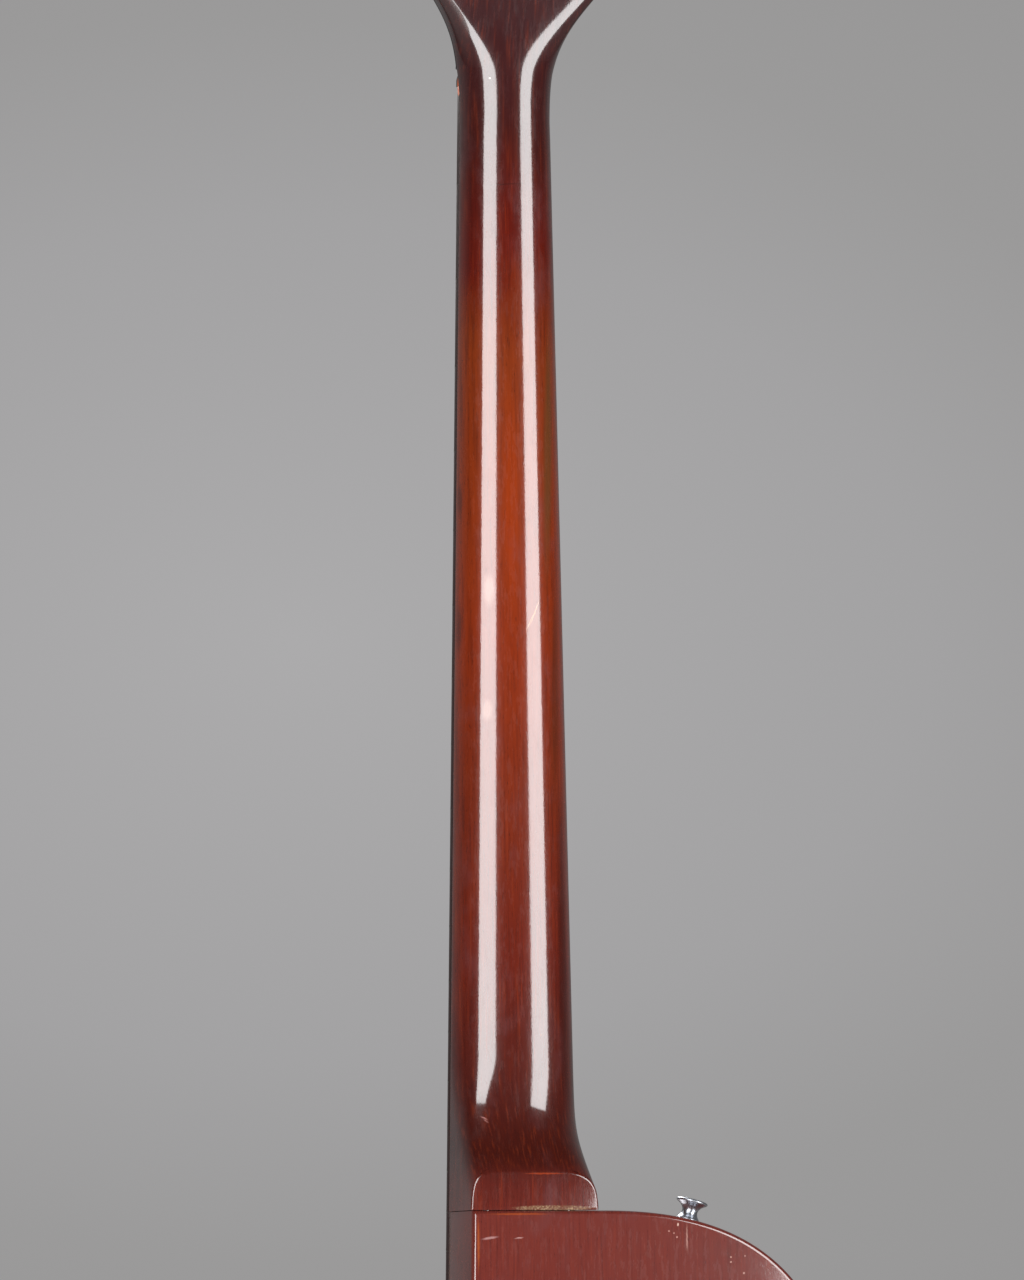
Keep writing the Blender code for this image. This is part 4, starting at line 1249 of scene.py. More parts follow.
def board_section(z, steps=28):
    half = half_width(z)
    ring = [Vector((-half, GLUE_Y + GAP, z)), Vector((half, GLUE_Y + GAP, z))]
    for step in range(steps + 1):
        x = half * (1 - 2 * step / steps)
        ring.append(Vector((x, crown_y(x, z), z)))
    return ring


def facing_front(x, y, z):
    """A place whose own Z points out of the bass's front."""
    return Matrix.Translation((x, y, z)) @ Matrix.Rotation(-math.pi / 2, 4, "X")


board = pressed_bar([board_section(z) for z in (board_low.z, SCALE - GAP)])
for number in range(1, FRETS + 1):
    z = fret_z(number)
    low = (-BEYOND_BOARD, BOARD_TOP - SLOT_DEPTH, z - SLOT_HALF)
    carve(board, block(low, (BEYOND_BOARD, BOARD_TOP + MM, z + SLOT_HALF)))
round_edges(board, 0.25 * MM, segments=2, angle=50)
finish(board, "fingerboard_plank", ROSEWOOD, nodes=("fingerboard",))

# %% Frets
FRET_HEIGHT = 1.2 * MM
FRET_HALF = 1.2 * MM
TANG_HALF = 0.26 * MM
TANG_DEPTH = 2.6 * MM
BEAD_STEPS = 8
END_SLANT = 0.9 * MM
END_SHARE = 0.1


def fret_ring(x, z, height):
    """Across the wire: the tang in its slot, and a round bead over the board."""
    top = crown_y(x, z)
    ring = [(TANG_HALF, -TANG_DEPTH), (TANG_HALF, 0)]
    for step in range(BEAD_STEPS + 1):
        angle = math.pi * step / BEAD_STEPS
        ring.append((FRET_HALF * math.cos(angle), height * math.sin(angle) + 0.02 * MM))
    ring += [(-TANG_HALF, 0), (-TANG_HALF, -TANG_DEPTH)]
    return [Vector((x, top + up, z + along)) for along, up in ring]


for number in range(1, FRETS + 1):
    z = fret_z(number)
    half = half_width(z) - 0.05 * MM
    stations = [-half, -half + END_SLANT]
    stations += [(half - END_SLANT) * (step / 8 - 1) for step in range(1, 16)]
    stations += [half - END_SLANT, half]
    rings = [fret_ring(x, z, FRET_HEIGHT * (END_SHARE if abs(x) == half else 1)) for x in stations]
    finish(pressed_bar(rings), "fret_%02d" % number, FRET_WIRE, angle=45)

# %% Position markers
DOT_FRETS = (3, 5, 7, 9, 12, 15, 17, 19)
DOUBLE_DOT = 11 * MM
SIDE_DOT_Y = GLUE_Y + 3.4 * MM
SIDE_DOT_STEP = 6 * MM
dot_profile = through([(0, -1.5), (3, -1.5), (3.2, -1.2), (3.2, -0.05), (3.1, 0.04), (0, 0.06)], 3)
dot = turned(dot_profile, steps=40)
side_dot = turned([(0, -1.5), (1.1, -1.5), (1.1, 0.02), (1, 0.06), (0, 0.08)], steps=24)
for number in DOT_FRETS:
    z = (fret_z(number) + fret_z(number - 1)) / 2
    pair = (-DOUBLE_DOT, DOUBLE_DOT) if number == 12 else (0,)
    for count, x in enumerate(pair):
        lean = math.atan(2 * BOARD_CROWN * x / half_width(z) ** 2)
        place = facing_front(x, crown_y(x, z) + 0.02 * MM, z) @ Matrix.Rotation(lean, 4, "Y")
        finish(twin(dot, place), "dot_%d_%d" % (number, count), PEARL)
        along = z + (count - (len(pair) - 1) / 2) * SIDE_DOT_STEP
        edge = Matrix.Translation((half_width(along), SIDE_DOT_Y, along))
        place = edge @ Matrix.Rotation(math.pi / 2, 4, "Y")
        finish(twin(side_dot, place), "side_dot_%d_%d" % (number, count), CREAM)
discard(dot)
discard(side_dot)


# %% [markdown]
# ## Nut and strings
#
# The nut is a bar of bone with a rounded back and one slot for each string, filed at the string's
# own slant. The strings are the only pieces that bend, so each is a curve: from its ball end in
# the bridge over the saddle, through the nut, and two or three turns round its post. Converting
# the curve gives the mesh, and each point then takes the length along the string at the nearest
# point of the path.

# %% The strings' routes
BRIDGE_SPACING = 19 * MM
NUT_SPACING = 10.4 * MM
NUT_STRING_BOTTOM = BOARD_TOP + 1.8 * MM
SADDLE_STRING_BOTTOM = BOARD_TOP + 5.6 * MM
STRING_ANCHOR_Y = GLUE_Y + 7 * MM
BRIDGE_REAR = -27 * MM
SADDLE_LEAD = 3.3 * MM
POST_RADIUS = 5 * MM
POST_CLEARANCE = 0.35 * MM
LOOP_CLEARANCE = 0.55 * MM
FIRST_TURN_HEIGHT = 3.6 * MM
POINTS_A_LOOP = 36


def string_x(index, spacing):
    """Sideways place of a string, counted from the bass side."""
    return (len(STRINGS) / 2 - 0.5 - index) * spacing


def winding_start(index):
    """The post's centre, the turn's radius, and where the string first touches the post."""
    string = STRINGS[index]
    centre = Vector((string.side * POST_OFFSET, TUNER_ROWS[string.row]))
    radius = POST_RADIUS + string.gauge / 2 + POST_CLEARANCE
    nut = Vector((string_x(index, NUT_SPACING), -NUT_THICKNESS))
    run = centre - nut
    lean = math.asin(radius / run.length) * string.side
    direction = Matrix.Rotation(lean, 2) @ run.normalized()
    touch = nut + direction * math.sqrt(run.length**2 - radius**2)
    return centre, radius, math.atan2(touch.y - centre.y, touch.x - centre.x)


def around_post(index, share):
    """A point of the winding after a share of turns, climbing with each turn."""
    string = STRINGS[index]
    centre, radius, angle = winding_start(index)
    turn = angle - string.side * math.tau * share
    rise = (string.gauge + LOOP_CLEARANCE) * share
    x = centre.x + radius * math.cos(turn)
    s = centre.y + radius * math.sin(turn)
    return head_point(x, s, FIRST_TURN_HEIGHT + string.gauge / 2 + rise)


def nut_run(index):
    """Where a string enters the nut, and its direction through it."""
    middle = NUT_STRING_BOTTOM + STRINGS[index].gauge / 2
    start = Vector((string_x(index, NUT_SPACING), middle, SCALE))
    return start, (around_post(index, 0) - start).normalized()


def string_path(index):
    string = STRINGS[index]
    x = string_x(index, BRIDGE_SPACING)
    on_saddle = Vector((x, SADDLE_STRING_BOTTOM + string.gauge / 2, -string.set_back - SADDLE_LEAD))
    path = [Vector((x, STRING_ANCHOR_Y, BRIDGE_REAR - 2.5 * MM)), on_saddle, nut_run(index)[0]]
    for step in range(string.turns * POINTS_A_LOOP + 1):
        path.append(around_post(index, step / POINTS_A_LOOP))
    path.append(path[-1] + (path[-1] - path[-2]).normalized() * string.gauge)
    return path


# %% Lacquered sides
CHIP = Vector((-20 * MM, GLUE_Y + 2.6 * MM, 774.4 * MM))
CHIP_SIZE = (4 * MM, 2.7 * MM, 4.9 * MM)


def lacquer_sides(material):
    """The sides were sprayed with the neck: dark lacquer, with a chip by the nut."""
    tree = material.node_tree
    shader = tree.nodes["Principled BSDF"]
    tone = shader.inputs["Base Color"].links[0].from_socket
    place = add(tree, "TexCoord").outputs["Object"]
    axes = add(tree, "SeparateXYZ", {0: place}).outputs
    sideways = add(tree, "Math", {0: axes["X"]}, operation="ABSOLUTE")
    sockets = {"Value": axes["Z"], "From Min": board_low.z, "From Max": SCALE}
    sockets |= {"To Min": half_width(board_low.z), "To Max": half_width(SCALE)}
    edge = add(tree, "MapRange", sockets, clamp=False)
    inside = add(tree, "Math", {0: edge, 1: sideways}, operation="SUBTRACT")
    chip = soft_patch(tree, place, CHIP, CHIP_SIZE, soft=0.2)
    lacquer = mix(tree, chip, "#2b100c", "#cf6434")
    sprayed = mix(tree, spread(tree, inside, 0.45 * MM, 0.25 * MM), tone, lacquer)
    tree.links.new(sprayed.outputs[2], shader.inputs["Base Color"])


lacquer_sides(ROSEWOOD)
lacquer_sides(BONE)

# %% Nut
NUT_HALF = 19.6 * MM
NUT_TOP = NUT_STRING_BOTTOM + 2 * MM


def at_top_corner(edge):
    """An edge across the bar, at either end of its top."""
    start, end = ends(nut, edge)
    return min(start.y, end.y) > BOARD_TOP and abs(start.x - end.x) < MM


def at_top_back(edge):
    """An edge of the top on the headstock's side."""
    return all(end.y > BOARD_TOP and end.z > SCALE + MM for end in ends(nut, edge))


nut = block((-NUT_HALF, GLUE_Y + GAP, SCALE), (NUT_HALF, NUT_TOP, SCALE + NUT_THICKNESS))
round_picked(nut, at_top_corner, 3.4 * MM)
round_picked(nut, at_top_back, 2.4 * MM)
round_edges(nut, 0.35 * MM)
for index, string in enumerate(STRINGS):
    start, direction = nut_run(index)
    groove = rod(start - direction * 3 * MM, start + direction * 12 * MM, string.gauge / 2 + GAP, 24)
    carve(nut, groove)
finish(nut, "nut_filed", BONE, nodes=("nut",))

# %% Wind the strings


def make_string(index):
    string = STRINGS[index]
    path = string_path(index)
    curve = bpy.data.curves.new("string", "CURVE")
    curve.dimensions = "3D"
    curve.bevel_depth = string.gauge / 2
    curve.bevel_resolution = 4
    curve.use_fill_caps = True
    line = curve.splines.new("POLY")
    line.points.add(len(path) - 1)
    for point, place in zip(line.points, path):
        point.co = (*place, 1)
    piece = bpy.data.objects.new("string", curve)
    bpy.context.collection.objects.link(piece)
    work_on(piece)
    bpy.ops.object.convert(target="MESH")
    piece = bpy.context.object
    nearest = KDTree(len(path))
    lengths = [0.0]
    for number, place in enumerate(path):
        nearest.insert(place, number)
        if number:
            lengths.append(lengths[-1] + (place - path[number - 1]).length)
    nearest.balance()
    attribute = piece.data.attributes.new("length", "FLOAT", "POINT")
    for vertex in piece.data.vertices:
        attribute.data[vertex.index].value = lengths[nearest.find(vertex.co)[1]]
    return piece


BALL = ((1, -2), (2.3, -2), (2.6, -1.7), (2, -0.6), (2, 0.6), (2.6, 1.7), (2.3, 2), (1, 2), (1, -2))
BALL_BEHIND = 2.9 * MM
ball = turned(BALL, steps=32)
for index, string in enumerate(STRINGS):
    name = "string_" + string.pitch
    finish(make_string(index), name + "_wound", WOUND, nodes=(name,), angle=45)
    spot = (string_x(index, BRIDGE_SPACING), STRING_ANCHOR_Y, BRIDGE_REAR - BALL_BEHIND)
    finish(twin(ball, Matrix.Translation(spot)), "ball_end_" + string.pitch, BRASS)
discard(ball)


# %% [markdown]
# ## Small screws
#
# The covers, housings and pickups are held by the same kind of screw: a low domed head with a
# cross pressed into it. It is turned once on the lathe, its cross is cut with two blocks, and it
# is then copied to every place at the size needed there.

# %% A cross-recessed screw
SCREW_HEAD = 2.5 * MM


def press_cross(screw, half, reach, low, high):
    """Cut a cross into a head with two blocks, from a low to a high place on the screw."""
    for wide, long in ((half, reach), (reach, half)):
        carve(screw, block((-wide * MM, -long * MM, low * MM), (wide * MM, long * MM, high * MM)))


def cross_screw():
    dome = through([(2.5, 0), (2.3, 0.55), (1.6, 0.95), (0, 1.1)], 4)
    screw = turned([(0, -7), (0.9, -6), (1.1, -5), (1.1, 0), *dome], steps=32)
    press_cross(screw, 0.32, 1.35, 0.25, 2)
    return screw


CROSS_SCREW = cross_screw()


def drive_screw(name, place, head):
    """Put a copy of the screw at a place, scaled to its head's radius."""
    screw = twin(CROSS_SCREW, place @ Matrix.Scale(head / SCREW_HEAD, 4))
    finish(screw, name, NICKEL)


# %% [markdown]
# ## Front of the headstock
#
# The black veneer has the headstock's own outline, so the same list of points is used again. The
# truss rod's nut lies in a pocket above the nut, under a bell-shaped plastic cover.

# %% Veneer and truss rod cover


def flat_outline(points, h):
    """An outline on the headstock at a height over its front."""
    return [head_point(x, s, h) for x, s in points]


def veneer_points():
    side = head_outline()
    first = (0.4 * MM, side[0][1])
    side = [first] + [point for point in side if point[0] > 0.8 * MM]
    right = [(width, s) for s, width in side]
    left = [(-width, s) for s, width in reversed(side) if width > 0.5 * MM]
    return right + left


veneer = plate(flat_outline(veneer_points(), -VENEER), HEAD_FRONT * VENEER)
round_edges(veneer, 0.4 * MM, angle=60)
low = (-POCKET_HALF, GLUE_Y - 12 * MM, POCKET_START)
carve(veneer, block(low, (POCKET_HALF, GLUE_Y + 9 * MM, POCKET_END)))
drill_posts(veneer, 4 * MM, 48)
node = "headstock_veneer"
finish(veneer, node + "_lacquered", BLACK_VENEER, nodes=(node,))


BELL_STEPS = 28


def bell_points():
    """A bell: a wide round foot that narrows to a small round top."""
    points = []
    for middle, radius, start, end in ((14, 11, 150, 390), (42, 5, 20, 160)):
        for step in range(BELL_STEPS + 1):
            angle = math.radians(start + (end - start) * step / BELL_STEPS)
            points.append((radius * math.cos(angle) * MM, (middle + radius * math.sin(angle)) * MM))
    return points


rod_cover = plate(flat_outline(bell_points(), GAP), HEAD_FRONT * 1.7 * MM)
round_edges(rod_cover, 0.5 * MM, angle=60)
finish(rod_cover, "truss_rod_cover_moulded", BLACK, nodes=("truss_rod_cover",))
for count, (x, s) in enumerate(((-7.5, 12), (7.5, 12), (0, 43))):
    drive_screw("rod_cover_screw_%d" % count, head_place(x * MM, s * MM, 2 * MM), 1.8 * MM)


# %% [markdown]
# ## Tuners
#
# Each tuner is a worm on the key's shaft that drives a gear on the post, inside a cast housing
# that is screwed to the back of the headstock. The key's oval paddle was cast and polished, so
# its sections are pressed rings. The post is turned with its gear, and slotted for the string.
# A washer and a hexagonal bushing hold it at the front.

# %% Tuner housings
HOUSING_TOP = -(HEAD_THICKNESS + VENEER + 3 * GAP)
HOUSING_FLOOR = HOUSING_TOP - 9.7 * MM
HOUSING_WALL = 1.8 * MM
HOUSING_HALF = 9.5 * MM
WORM_OFFSET = 9.5 * MM
HOUSING_END = 12.5 * MM
HOUSING_NEAR = 9 * MM
EAR = 1.6 * MM
EAR_REACH = 6 * MM
WORM_HEIGHT = HOUSING_TOP - 4.6 * MM


def ear(y_low, y_high):
    """A flange at one end of a housing, with round corners."""
    flange = block((-EAR_REACH, y_low, HOUSING_TOP - EAR), (EAR_REACH, y_high, HOUSING_TOP))
    round_corners(flange, "Z", 2.4 * MM, 6)
    return flange


def make_housing(side):
    """A cast box that is open towards the wood, with an ear at each end."""
    far = -HOUSING_END - HOUSING_WALL
    near = HOUSING_NEAR
    housing = block((-HOUSING_HALF, far, HOUSING_FLOOR), (HOUSING_HALF, near, HOUSING_TOP))

    def off_the_wood(edge):
        return any(end.z < HOUSING_TOP - MM for end in ends(housing, edge))

    round_picked(housing, off_the_wood, 2.2 * MM, 6)
    ears = (ear(near - 3 * MM, near + EAR_REACH), ear(far - EAR_REACH, far + 3 * MM))
    carve(housing, *ears, operation="UNION")
    for y in (near + 3.2 * MM, far - 3.2 * MM):
        carve(housing, rod((0, y, HOUSING_TOP - 4 * MM), (0, y, HOUSING_TOP + MM), 1.3 * MM, 24))
    inside = HOUSING_HALF - HOUSING_WALL
    hollow_low = (-inside, -HOUSING_END, HOUSING_FLOOR + HOUSING_WALL)
    carve(housing, block(hollow_low, (inside, near - HOUSING_WALL, HOUSING_TOP + MM)))
    start = Vector((side * 5 * MM, -WORM_OFFSET, WORM_HEIGHT))
    end = Vector((side * 12 * MM, -WORM_OFFSET, WORM_HEIGHT))
    carve(housing, rod(start, end, 2.4 * MM))
    round_edges(housing, 0.3 * MM, segments=2, angle=50)
    return housing


# %% Keys
COLLAR = ((17, 2, 2), (17.6, 3.4, 3.4), (20, 3.2, 3.2), (22, 2.9, 2.9), (24, 4.4, 3))
WIDE_PART = ((27, 9.2, 3.2), (31, 12.2, 3.3), (34, 13, 3.2), (38, 12.8, 3.2))
ROUND_END = ((41, 11.5, 3.1), (44, 8.4, 2.6), (46, 4.6, 1.7), (46.5, 1, 0.4))
WORM_TURNS = 7
WORM_PITCH = 1.8
KEY_SIDES = 36


def make_key(side):
    """Worm, shaft and oval paddle: each station is (reach, width, thickness)."""
    stations = [(-6.5, 1.9, 1.9)]
    for turn in range(WORM_TURNS):
        reach = -6.3 + turn * WORM_PITCH
        for climb, radius in ((0, 1.9), (0.5, 2.6), (0.9, 2.6), (1.4, 1.9)):
            stations.append((reach + climb, radius, radius))
    stations += [(6.6, 2, 2), *through(COLLAR + WIDE_PART + ROUND_END, 3)]
    rings = []
    for reach, wide, thick in stations:
        ring = []
        for step in range(KEY_SIDES):
            angle = math.tau * step / KEY_SIDES
            ring.append(Vector((side * reach, wide * math.cos(angle), thick * math.sin(angle))) * MM)
        rings.append(ring)
    return pressed_bar(rings)


# %% Posts and bushings
POST_WAIST = ((5.6, 3), (5.15, 3.6), (5, 5), (5, 13), (5.1, 15), (5.6, 16.2))
POST_TOP = ((5.6, 18.5), (5.1, 19), (2, 19), (0, 18.6))
BUSHING_FOOT = ((4.4, -8), (5.9, -8), (5.9, 0.3), (8.8, 0.3))
BUSHING_WASHER = ((9, 0.5), (9, 0.8), (8.8, 1), (4.4, 1), (4.4, -8))
GEAR_TEETH = 20
TOOTH_RADII = (6.5, 6.5, 5.4, 5.4)


def make_post():
    """A turned post with its gear, a slot across its top and a hole for the string's end."""
    foot = (HOUSING_FLOOR + HOUSING_WALL + GAP) / MM
    lower = [(0, foot), (3.4, foot), (3.4, foot + 1), (4, foot + 1.2), (4, 2.4), (5.6, 2.4)]
    post = turned(lower + through(POST_WAIST + POST_TOP, 3))
    teeth = []
    points = GEAR_TEETH * len(TOOTH_RADII)
    for step in range(points):
        radius = TOOTH_RADII[step % len(TOOTH_RADII)] * MM
        angle = math.tau * step / points
        teeth.append(Vector((radius * math.cos(angle), radius * math.sin(angle), (foot + 1) * MM)))
    carve(post, plate(teeth, (0, 0, 4.6 * MM)), operation="UNION")
    carve(post, block((-1.6 * MM, -8 * MM, 16.4 * MM), (1.6 * MM, 8 * MM, 21 * MM)))
    carve(post, rod((0, 0, 9 * MM), (0, 0, 22 * MM), 1.7 * MM, 24))
    return post


def make_bushing():
    """A turned sleeve with a washer, and a hexagonal nut on it."""
    sleeve = turned(BUSHING_FOOT + BUSHING_WASHER)
    hexagon = rod((0, 0, 0.9 * MM), (0, 0, 2.1 * MM), 7.6 * MM, 6)
    round_edges(hexagon, 0.35 * MM)
    carve(hexagon, rod((0, 0, 0), (0, 0, 3 * MM), 4.4 * MM, 48))
    return carve(sleeve, hexagon, operation="UNION")


# %% Place the tuners
for side in (1, -1):
    housing = make_housing(side)
    key = make_key(side)
    post = make_post()
    bushing = make_bushing()
    for string in [string for string in STRINGS if string.side == side]:
        pitch = string.pitch
        place = head_place(side * POST_OFFSET, TUNER_ROWS[string.row])
        worm = place @ Matrix.Translation((0, -WORM_OFFSET, WORM_HEIGHT))
        parts = (
            (housing, place, "tuner_housing", "cast", "root"),
            (key, worm, "tuner_key", "cast", "tuner_key_%s_turning" % pitch),
            (post, place, "tuner_post", "turned", "tuner_post_%s_turning" % pitch),
            (bushing, place, "post_bushing", "hex", "root"),
        )
        for master, spot, node, made, body in parts:
            name = "%s_%s_%s" % (node, made, pitch)
            finish(twin(master, spot), name, NICKEL, body, (node + "_" + pitch,))
        for count, y in enumerate((12.2 * MM, -17.5 * MM)):
            back = place @ Matrix.Translation((0, y, HOUSING_TOP - EAR))
            name = "housing_screw_%s_%d" % (pitch, count)
            drive_screw(name, back @ Matrix.Rotation(math.pi, 4, "X"), 2.3 * MM)
    for master in (housing, key, post, bushing):
        discard(master)


# %% [markdown]
# ## Bridge
#
# The bridge is a cast and plated block on two studs. Its well holds four saddles that slide on
# long intonation screws, and the ball ends of the strings sit behind slots in its rear wall.

# %% Bridge base
SCREW_Y = GLUE_Y + 7.2 * MM
STUD_X = 43 * MM
BASE_HALF = 49.5 * MM
BASE_TOP = GLUE_Y + 10 * MM
BASE_FRONT = 17 * MM
WELL_HALF = 36 * MM
OVER_BASE = GLUE_Y + 12 * MM


def make_bridge():
    """The cast block with its well, string slots, screw holes and stud holes."""
    base = block((-BASE_HALF, GLUE_Y + 2 * MM, BRIDGE_REAR), (BASE_HALF, BASE_TOP, BASE_FRONT))
    round_corners(base, "Y", 4 * MM)
    round_edges(base, 1.3 * MM, segments=4, angle=50)
    carve(base, block((-WELL_HALF, GLUE_Y + 4.5 * MM, -18 * MM), (WELL_HALF, OVER_BASE, 12.5 * MM)))
    for index, string in enumerate(STRINGS):
        x = string_x(index, BRIDGE_SPACING)
        half = string.gauge / 2 + 0.5 * MM
        carve(base, block((x - half, GLUE_Y + 5.4 * MM, -30 * MM), (x + half, OVER_BASE, -17 * MM)))
        carve(base, rod((x, SCREW_Y, 10 * MM), (x, SCREW_Y, 20 * MM), 1.9 * MM, 32))
    for x in (-STUD_X, STUD_X):
        carve(base, rod((x, GLUE_Y, 0), (x, OVER_BASE, 0), 4.4 * MM, 48))
    round_edges(base, 0.25 * MM, segments=2, angle=50)
    return base


finish(make_bridge(), "bridge_base_cast", NICKEL, nodes=("bridge_base",))

# %% Studs
STUD_FOOT = ((0, -21), (3.6, -21), (4, -20), (4, 10.6), (6, 10.6), (6.4, 10.9))
stud = turned([*STUD_FOOT, *through([(6.4, 12.3), (6.2, 12.8), (5.4, 13.15), (0, 13.2)], 4)])
carve(stud, block((-0.7 * MM, -8 * MM, 12 * MM), (0.7 * MM, 8 * MM, 15 * MM)))
for name, x in (("bass", STUD_X), ("treble", -STUD_X)):
    node = "bridge_stud_" + name
    place = facing_front(x, GLUE_Y, 0)
    finish(twin(stud, place), node + "_slotted", NICKEL, nodes=(node,))
discard(stud)

# %% Saddles and intonation screws
SCREW_PITCH = 0.7
SCREW_TURNS = 42
SCREW_NECK = ((1.3, -1.6), (1.5, -1), (1.5, 0.4))
SCREW_CROWN = ((2.5, 0.4), (2.7, 0.6), (2.7, 1.4), (2.3, 1.9), (1.6, 2.2), (0, 2.2))
SADDLE_HALF = 5.5 * MM
SADDLE_ROUND = 3.2 * MM
SADDLE_STEPS = 16


def make_saddle():
    """A block with a round crown, seen from its side, as wide as a saddle."""
    foot = GLUE_Y + 4.8 * MM
    crown = SADDLE_STRING_BOTTOM - 0.3 * MM
    outline = [(4, foot), (-4, foot), (-4, crown - 2.5 * MM)]
    for step in range(SADDLE_STEPS + 1):
        angle = math.pi * (0.08 + 0.84 * step / SADDLE_STEPS)
        drop = SADDLE_ROUND * (1 - math.sin(angle))
        outline.append((-SADDLE_ROUND / MM * math.cos(angle), crown - drop))
    outline.append((4, crown - 2.5 * MM))
    saddle = plate([(-SADDLE_HALF, y, z * MM) for z, y in outline], (2 * SADDLE_HALF, 0, 0))
    round_edges(saddle, 0.3 * MM, segments=2, angle=50)
    return saddle


def make_intonation_screw():
    """A screw whose thread is turned as rings, with a slotted head."""
    profile = [(0, -32), (1.1, -32), (1.35, -31.4)]
    for turn in range(SCREW_TURNS):
        height = -31.2 + turn * SCREW_PITCH
        profile += [(1.3, height), (1.5, height + SCREW_PITCH / 2)]
    screw = turned([*profile, *SCREW_NECK, *SCREW_CROWN], steps=24)
    return carve(screw, block((-0.35 * MM, -4 * MM, 1.2 * MM), (0.35 * MM, 4 * MM, 4 * MM)))


saddle = make_saddle()
screw = make_intonation_screw()
for index, string in enumerate(STRINGS):
    x = string_x(index, BRIDGE_SPACING)
    copy = twin(saddle, Matrix.Translation((x, 0, -string.set_back)))
    carve(copy, rod((x, SCREW_Y, -20 * MM), (x, SCREW_Y, 12 * MM), 1.85 * MM, 32))
    notch_y = SADDLE_STRING_BOTTOM + string.gauge / 2 - 0.55 * MM
    carve(copy, rod((x, notch_y, -20 * MM), (x, notch_y, 12 * MM), string.gauge / 2 + 0.2 * MM, 32))
    sliding = "saddle_%s_sliding" % string.pitch
    nodes = ("saddle_" + string.pitch,)
    finish(copy, "saddle_notched_" + string.pitch, BRIGHT_NICKEL, sliding, nodes)
    turning = "intonation_screw_%s_turning" % string.pitch
    nodes = ("intonation_screw_" + string.pitch,)
    copy = twin(screw, Matrix.Translation((x, SCREW_Y, 17 * MM)))
    finish(copy, "intonation_screw_threaded_" + string.pitch, STEEL, turning, nodes)
discard(saddle)
discard(screw)


# %% [markdown]
# ## Pickups, knobs and jack
#
# A pickup is a wide black cover over its coils, with one adjustable pole screw under each string.
# The knobs are moulded with fine grips round the side and a cream pointer line. They are turned,
# and every second row of side points is then pressed inwards.

# %% Pickups
PICKUP_HALF_X = 44.5 * MM
PICKUP_HALF_Z = 19 * MM
PICKUP_TOP = GLUE_Y + 5 * MM
POLE_SPACING = BRIDGE_SPACING - MM
POLE = ((0, -3), (2.9, -3), (2.9, 0.5), (2.6, 0.8), (0, 0.8))

for name, z in PICKUPS:
    low = (-PICKUP_HALF_X, pickup_low.y, z - PICKUP_HALF_Z)
    cover = block(low, (PICKUP_HALF_X, PICKUP_TOP, z + PICKUP_HALF_Z))
    round_corners(cover, "Y", 3.5 * MM)
    round_edges(cover, 1.4 * MM, segments=4, angle=50)
    node = "pickup_" + name
    finish(cover, node + "_cover", BLACK, nodes=(node,))
    for index in range(len(STRINGS)):
        x = string_x(index, POLE_SPACING)
        pole = turned(POLE, facing_front(x, PICKUP_TOP, z))
        low = (x - 4 * MM, PICKUP_TOP + 0.4 * MM, z - 0.4 * MM)
        carve(pole, block(low, (x + 4 * MM, PICKUP_TOP + 2 * MM, z + 0.4 * MM)))
        finish(pole, "pole_%s_%d" % (name, index), STEEL)
    for count, (x, up) in enumerate(((-39, 14.5), (39, 14.5), (-39, -14.5), (39, -14.5))):
        place = facing_front(x * MM, PICKUP_TOP, z + up * MM)
        drive_screw("pickup_screw_%s_%d" % (name, count), place, 2 * MM)

# %% Knobs
GRIPS = 60
GRIP_DEPTH = 0.35 * MM


def make_knob():
    """A turned knob with a blind hole, its side pressed into fine grips."""
    skirt = [(0, 12.3), (3.3, 12.3), (3.3, 4), (10.6, 4), (10.8, 4.3), (10.8, 5), (10.5, 5.3)]
    rim = through([(10.4, 5.6), (9.75, 15.4), (9.5, 16.2), (8.7, 16.75), (7.4, 16.4), (0, 16.2)], 4)
    knob = turned(skirt + rim, steps=2 * GRIPS)
    for vertex in knob.data.vertices:
        radius = math.hypot(vertex.co.x, vertex.co.y)
        step = round(math.atan2(vertex.co.y, vertex.co.x) / math.tau * 2 * GRIPS)
        if step % 2 and 5.5 * MM < vertex.co.z < 15.5 * MM and radius > 9 * MM:
            vertex.co.x *= 1 - GRIP_DEPTH / radius
            vertex.co.y *= 1 - GRIP_DEPTH / radius
    return knob


knob = make_knob()
pointer = block((-0.45 * MM, -8.2 * MM, 16 * MM), (0.45 * MM, -3.2 * MM, 16.75 * MM))
for index, name in enumerate(CONTROLS):
    spot = control_place(index)
    place = facing_front(spot.x, GLUE_Y, spot.z) @ Matrix.Rotation(math.pi, 4, "Z")
    body = "control_" + name
    finish(twin(knob, place), "knob_grip_" + name, BLACK, body, ("knob_" + name,))
    finish(twin(pointer, place), "knob_pointer_" + name, CREAM, body)
discard(knob)
discard(pointer)

# %% Jack and its plate
PLATE_HALF = 16 * MM
jack_spot = control_place(len(CONTROLS))
low = (jack_spot.x - PLATE_HALF, GLUE_Y + GAP, jack_spot.z - PLATE_HALF)
jack_plate = block(low, (jack_spot.x + PLATE_HALF, GLUE_Y + 2 * MM, jack_spot.z + PLATE_HALF))
round_corners(jack_plate, "Y", 5 * MM)
round_edges(jack_plate, 0.5 * MM)
jack_front = facing_front(jack_spot.x, GLUE_Y, jack_spot.z)
carve(jack_plate, rod((0, 0, -4 * MM), (0, 0, 6 * MM), 4.9 * MM, 48, jack_front))
finish(jack_plate, "jack_plate_pressed", NICKEL, nodes=("jack_plate",))
for count, (x, y) in enumerate(((-11.5, -11.5), (11.5, -11.5), (-11.5, 11.5), (11.5, 11.5))):
    place = jack_front @ Matrix.Translation((x * MM, y * MM, 2 * MM))
    drive_screw("jack_screw_%d" % count, place, 2.2 * MM)

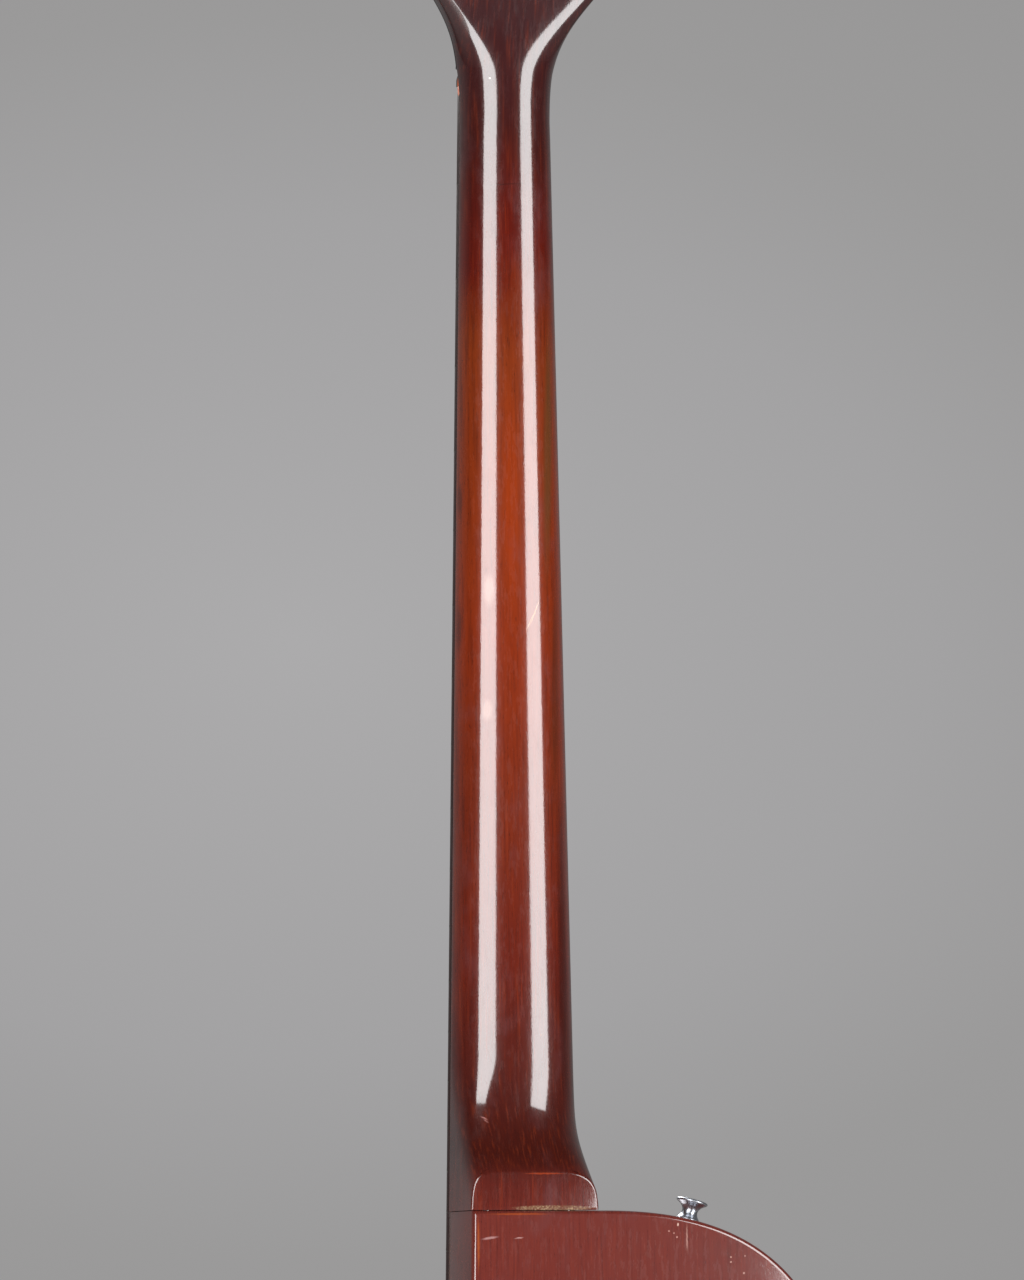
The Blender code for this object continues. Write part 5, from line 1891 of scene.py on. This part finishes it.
JACK_SHELL = ((0, -24), (8, -24), (8, -7), (4.5, -7), (4.5, 2.4), (4.5, 4.9), (4.1, 5.3))
JACK_BORE = ((3.25, 5.3), (3.25, -21), (0, -21))
jack = turned(JACK_SHELL + JACK_BORE)
jack_nut = rod((0, 0, 2.3 * MM), (0, 0, 4.2 * MM), 6.8 * MM, 6)
round_edges(jack_nut, 0.4 * MM)
carve(jack_nut, rod((0, 0, 0), (0, 0, 8 * MM), 3.9 * MM, 32))
carve(jack, jack_nut, operation="UNION")
jack.data.transform(jack_front)
finish(jack, "jack_socket_hex", NICKEL, nodes=("jack_socket",))

# %% Control cover at the back
cover = plate(control_outline(CAVITY_HALF_WIDTH + COVER_MARGIN, 0), (0, cover_high.y, 0))
round_edges(cover, 0.5 * MM, angle=60)
finish(cover, "control_cover_moulded", BLACK, nodes=("control_cover",))
for count, (index, x) in enumerate(((0, -18), (0, 18), (3, -18), (3, 18))):
    spot = control_place(index) + Vector((x * MM, 0, 5 * MM * (1 if index == 0 else -1)))
    place = Matrix.Translation(spot) @ Matrix.Rotation(math.pi / 2, 4, "X")
    drive_screw("cover_screw_%d" % count, place, 2.2 * MM)


# %% [markdown]
# ## Strap buttons
#
# One button stands on the bass-side shoulder, where the photograph shows it, and one at the lower
# end. It is turned from brass, polished and plated brighter than the rest: a round foot, a thin
# waist and a trumpet-shaped flange with a softly domed rim. A cross-recessed screw holds it.

# %% Strap buttons and their screws
BUTTON_X = 71.4 * MM
SHOULDER = ((30, 0), (75, 0), (134, -12), (134, -100))


def button_places():
    """Where the two buttons stand, with their own Z pointing away from the body."""
    line = [Vector((x, 0, z + JOINT_Z)) for x, z in curve_points(SHOULDER, 60)]
    start, end = next(pair for pair in zip(line, line[1:]) if pair[0].x <= BUTTON_X <= pair[1].x)
    spot = start.lerp(end, (BUTTON_X - start.x) / (end.x - start.x))
    away = Vector((start.z - end.z, 0, end.x - start.x)).normalized()
    turn = away.to_track_quat("Z", "Y").to_matrix().to_4x4()
    shoulder = Matrix.Translation((spot.x, GLUE_Y / 2, spot.z)) @ turn
    lower = Matrix.Translation((0, GLUE_Y / 2, body_low.z)) @ Matrix.Rotation(math.pi, 4, "X")
    return (("shoulder", shoulder), ("end", lower))


BUTTON_FOOT = ((4.6, 0.4), (4.95, 0.9), (4.6, 1.7), (3.7, 3), (3.3, 4.4))
BUTTON_FLARE = ((3.5, 5.6), (4.4, 6.9), (5.7, 7.8), (6.5, 8.3))
BUTTON_RIM = ((6.5, 8.3), (6.7, 8.75), (6.55, 9.2), (6, 9.5), (4.9, 9.6), (4, 9.4))
outside = through(BUTTON_FOOT + BUTTON_FLARE, 4)[:-1] + through(BUTTON_RIM, 4)
button = turned([(2.4, 0.4), *outside, (2.4, 8), (2.4, 0.4)], steps=64)
head = through([(3.4, 9.3), (3, 9.7), (2.2, 9.95), (0, 10.1)], 4)
screw = turned([(0, -22), (1.2, -20.5), (1.9, -18), (1.9, 7.9), *head], steps=40)
press_cross(screw, 0.35, 1.8, 9, 12)
for name, place in button_places():
    node = "strap_button_" + name
    finish(twin(button, place), node + "_polished", BRIGHT_NICKEL, nodes=(node,))
    node = "strap_screw_" + name
    finish(twin(screw, place), node + "_cross", STEEL, nodes=(node,))
discard(button)
discard(screw)
discard(CROSS_SCREW)


# %% [markdown]
# ## Hidden pieces
#
# What lies inside the body or the neck keeps its CAD shape: the truss rod and its brass nut, the
# potentiometers and their shafts. Each still gets the finish of its real material, since it shows
# when a cover comes off.

# %% Finishes of the pieces that keep their CAD shape
SLOT_FINISH = {
    "cherry_lacquer_mahogany": CHERRY,
    "fingerboard_rosewood": ROSEWOOD,
    "black_plastic": BLACK,
    "bone": BONE,
    "nickel_plate": NICKEL,
    "steel": STEEL,
    "brass": BRASS,
    "wound_steel_string": WOUND,
}
for part in frame["record"]["subparts"]:
    node = frame["nodes"][part["node"]]
    node.data.materials.clear()
    node.data.materials.append(SLOT_FINISH[part["material_slot"]])
